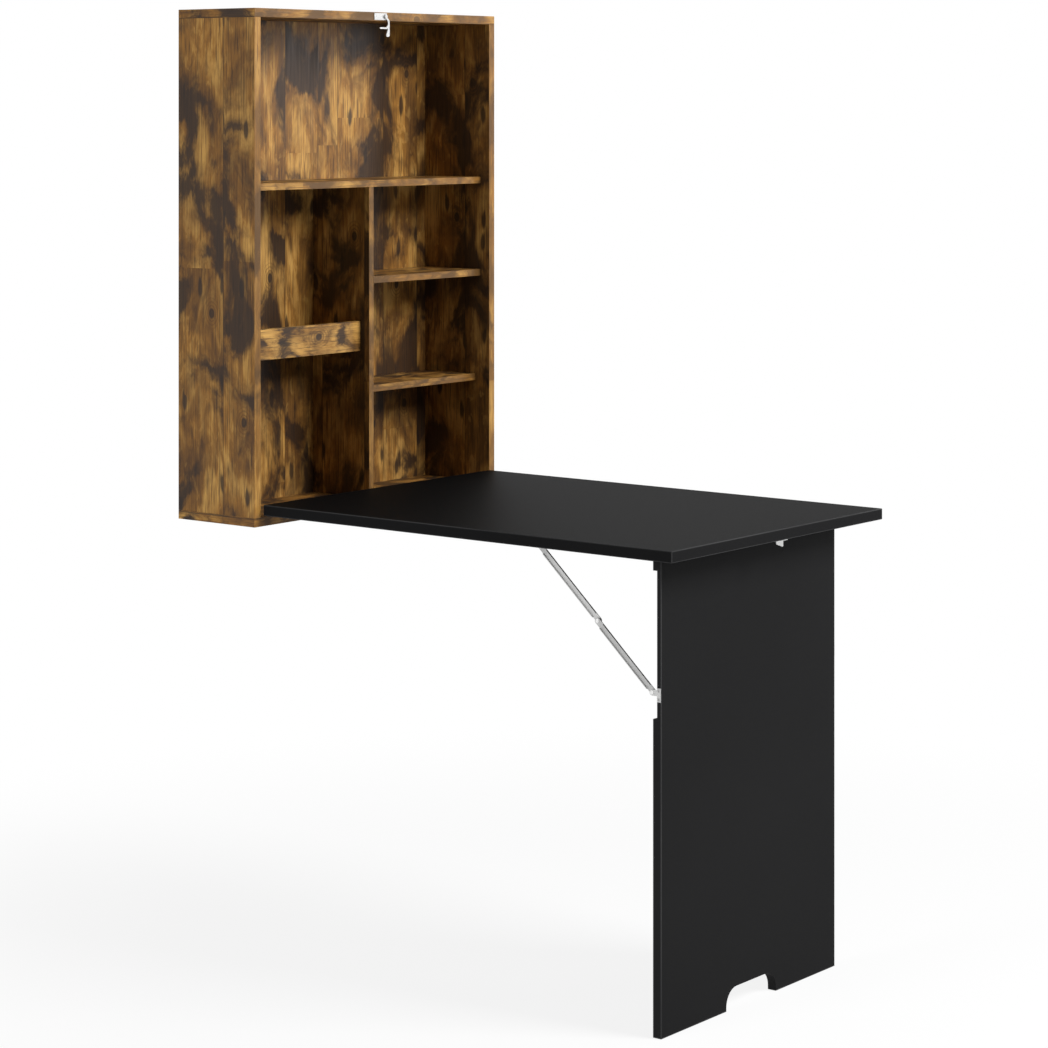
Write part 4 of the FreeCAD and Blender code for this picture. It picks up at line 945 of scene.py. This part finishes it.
class WALL_DESK_OT_hinges(bpy.types.Operator):
    """Finishes the hinges of the desktop and of the leg."""

    bl_idname = "wall_desk.hinges"
    bl_label = "Hinges"

    def execute(self, context):
        sizes = context.scene.desk_sizes
        steel = plated_steel("hinge_steel", rough=0.34, dark=0.92, grain=(0.1, 1.0, 1.0))
        for node, body in [
            ("desk_hinge_fixed_leaves", "cabinet"),
            ("desk_hinge_moving_leaves", "desktop"),
            ("leg_hinge_fixed_leaves", "desktop"),
            ("leg_hinge_moving_leaves", "leg"),
        ]:
            leaves = eased(f"{node}_pressed", node, sizes.metal_edge)
            dress(leaves, steel)
            claim(leaves, body, node)
        for node in ("desk_hinge_pins", "leg_hinge_pins"):
            dress_node(node, steel)
        return finished()


class WALL_DESK_OT_stays(bpy.types.Operator):
    """Builds the folding stays with their brackets and rivets."""

    bl_idname = "wall_desk.stays"
    bl_label = "Folding Stays"

    def execute(self, context):
        sizes = context.scene.desk_sizes
        steel = plated_steel("stay_zinc", rough=0.42)
        # The lower links' zinc is painted darker than the upper links' as painted shade.
        lower = plated_steel("shaded_lower_stay_zinc", rough=0.46, dark=0.86)
        rivet = plated_steel("rivet_zinc", rough=0.30, dark=1.55)
        parts = [
            ("stay_desk_brackets", "desktop", steel), ("stay_desk_pivots", "desktop", rivet),
            ("stay_leg_brackets", "leg", steel), ("stay_leg_pivots", "leg", rivet),
        ]
        starts = {joint["child"]: Vector(joint["pos_m"]) for joint in frame["joints"]}
        for side in ("left", "right"):
            # Each level's zinc: the lower one carries painted shade.
            for level, sheet in (("upper", steel), ("lower", lower)):
                link = f"{side}_{level}_link"
                low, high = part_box(f"{side}_{level}_rivet")
                start = starts[link]
                end = Vector((start.x, (low.y + high.y) / 2, (low.z + high.z) / 2))
                channel = model_link(f"{link}_channel", link, start, end)
                dress(channel, sheet)
                claim(channel, link, link)
                parts.append((f"{side}_{level}_rivet", link, rivet))
        for node, body, material in parts:
            # The round heads are eased more than the sheet metal.
            rounding = 1.6 * sizes.metal_edge if material is rivet else sizes.metal_edge
            piece = eased(f"{node}_pressed", node, rounding)
            dress(piece, material)
            claim(piece, body, node)
        return finished()


class WALL_DESK_OT_latch(bpy.types.Operator):
    """Builds the latch and the keeper."""

    bl_idname = "wall_desk.latch"
    bl_label = "Latch and Keeper"

    def execute(self, context):
        sizes = context.scene.desk_sizes
        steel = plated_steel("latch_zinc", rough=0.40, dark=0.80)
        for node, body in [
            ("latch_plate", "cabinet"), ("latch_pivot", "cabinet"), ("latch_hook", "latch_hook"),
            ("keeper_plate", "desktop"),
        ]:
            name = f"{node}_pressed"
            if node == "latch_hook":
                # The thin hook keeps its solid's edges as they are.
                piece = merged(name, node)
                close_edit(piece)
            else:
                piece = eased(name, node, sizes.metal_edge)
            dress(piece, steel)
            claim(piece, body, node)
        return finished()


class WALL_DESK_OT_screws(bpy.types.Operator):
    """Builds every screw with its cross recess."""

    bl_idname = "wall_desk.screws"
    bl_label = "Screws"

    def execute(self, context):
        steel = plated_steel("screw_steel", rough=0.32, dark=0.85)
        for node, body in [
            ("carcass_screws", "cabinet"), ("desk_hinge_fixed_screws", "cabinet"),
            ("latch_screws", "cabinet"), ("desk_hinge_moving_screws", "desktop"),
            ("leg_hinge_fixed_screws", "desktop"), ("stay_desk_screws", "desktop"),
            ("keeper_screws", "desktop"), ("leg_hinge_moving_screws", "leg"),
            ("stay_leg_screws", "leg"),
        ]:
            screws(f"{node}_recessed", node, body, steel)
        return finished()


class WALL_DESK_OT_stage(bpy.types.Operator):
    """Sets the floor, the lamps, the surroundings and the camera."""

    bl_idname = "wall_desk.stage"
    bl_label = "Studio"

    def execute(self, context):
        self.floor()
        self.surroundings()
        self.lamps()
        self.camera()
        context.scene.view_settings.view_transform = "Standard"
        return finished()

    def floor(self):
        """A pale floor that shows white and keeps a soft shadow."""
        low = CAD_BOX[0]
        clear_selection()
        bpy.ops.mesh.primitive_plane_add(size=FLOOR_SIZE, location=(0, FLOOR_Y, low.z - FLOOR_GAP))
        floor = bpy.context.object
        floor.name = "studio_floor"
        settle(floor)
        pen = Shader(bpy.data.materials.new("studio_floor"))
        away = pen.add(
            "ShaderNodeVectorMath", {0: pen.place(), 1: (0, SHADOW_Y, low.z)},
            operation="DISTANCE",
        ).outputs["Value"]
        white = pen.smooth(away, *SHADOW_REACH, SHADOW_WHITE, 1.0)
        share = pen.math("MULTIPLY", pen.seen(), white)
        matt = pen.add("ShaderNodeBsdfDiffuse", {"Color": FLOOR_COLOUR})
        glow = pen.add("ShaderNodeEmission", {"Color": WHITE, "Strength": 1.0})
        mixed = pen.add("ShaderNodeMixShader", {0: share, 1: matt.outputs[0], 2: glow.outputs[0]})
        pen.add("ShaderNodeOutputMaterial", {"Surface": mixed.outputs[0]})
        floor.data.materials.append(pen.owner)

    def surroundings(self):
        """White to the camera and in reflections, and a plain soft light on the desk."""
        world = bpy.data.worlds.new("studio")
        bpy.context.scene.world = world
        pen = Shader(world)
        strength = pen.smooth(pen.seen(), 0.0, 1.0, bpy.context.scene.desk_stage.ambient, 1.0)
        back = pen.add("ShaderNodeBackground", {"Color": WHITE, "Strength": strength})
        pen.add("ShaderNodeOutputWorld", {"Surface": back.outputs[0]})

    def lamps(self):
        """Three softboxes: above the front, to the right, and a fill on the left."""
        stage = bpy.context.scene.desk_stage
        for name, power, place, size in [
            ("key", stage.key_power, (0.9, -4.0, 2.0), 1.8),
            ("side", stage.side_power, (3.6, -3.6, 0.35), 1.0),
            ("fill", stage.fill_power, (-4.2, 0.1, 0.3), 1.6),
        ]:
            lamp = bpy.data.lights.new(name, "AREA")
            lamp.energy = power
            lamp.size = size
            softbox = bpy.data.objects.new(name, lamp)
            bpy.context.scene.collection.objects.link(softbox)
            softbox.location = place
            way = LAMP_TARGET - Vector(place)
            softbox.rotation_euler = way.to_track_quat("-Z", "Y").to_euler()

    def camera(self):
        """The camera, level, with its frame shifted."""
        stage = bpy.context.scene.desk_stage
        lens = bpy.data.cameras.new("camera")
        lens.sensor_width = 36
        lens.lens = stage.focal
        lens.shift_x = stage.shift_x
        lens.shift_y = stage.shift_y
        lens.clip_end = 60
        eye = bpy.data.objects.new("camera", lens)
        bpy.context.scene.collection.objects.link(eye)
        eye.location = stage.eye
        eye.rotation_euler = (math.pi / 2, 0, -stage.heading)
        bpy.context.scene.camera = eye


class WALL_DESK_PT_panel(bpy.types.Panel):
    """Lists the steps of the desk and its settings."""

    bl_idname = "WALL_DESK_PT_panel"
    bl_label = "Fold Down Wall Desk"
    bl_space_type = "VIEW_3D"
    bl_region_type = "UI"
    bl_category = "Wall Desk"

    def draw(self, context):
        for operator in OPERATORS:
            self.layout.operator(operator.bl_idname)
        for owner in GROUPS:
            group = getattr(context.scene, owner)
            for name in group.bl_rna.properties.keys():
                if name not in ("rna_type", "name"):
                    self.layout.prop(group, name)


OPERATORS = (
    WALL_DESK_OT_boards, WALL_DESK_OT_desktop, WALL_DESK_OT_rails, WALL_DESK_OT_hinges,
    WALL_DESK_OT_stays, WALL_DESK_OT_latch, WALL_DESK_OT_screws, WALL_DESK_OT_stage,
)
GROUPS = {"desk_finishes": DeskFinishes, "desk_sizes": DeskSizes, "desk_stage": DeskStage}


def register():
    """Registers the properties, the operators and the panel."""
    for name, group in GROUPS.items():
        bpy.utils.register_class(group)
        setattr(bpy.types.Scene, name, PointerProperty(type=group))
    for operator in OPERATORS:
        bpy.utils.register_class(operator)
    bpy.utils.register_class(WALL_DESK_PT_panel)


def unregister():
    """Takes everything back out."""
    bpy.utils.unregister_class(WALL_DESK_PT_panel)
    for operator in reversed(OPERATORS):
        bpy.utils.unregister_class(operator)
    for name, group in GROUPS.items():
        delattr(bpy.types.Scene, name)
        bpy.utils.unregister_class(group)


def main():
    """Builds the whole scene."""
    register()
    for operator in OPERATORS:
        group, name = operator.bl_idname.split(".")
        getattr(getattr(bpy.ops, group), name)()


if __name__ == "__main__":
    main()
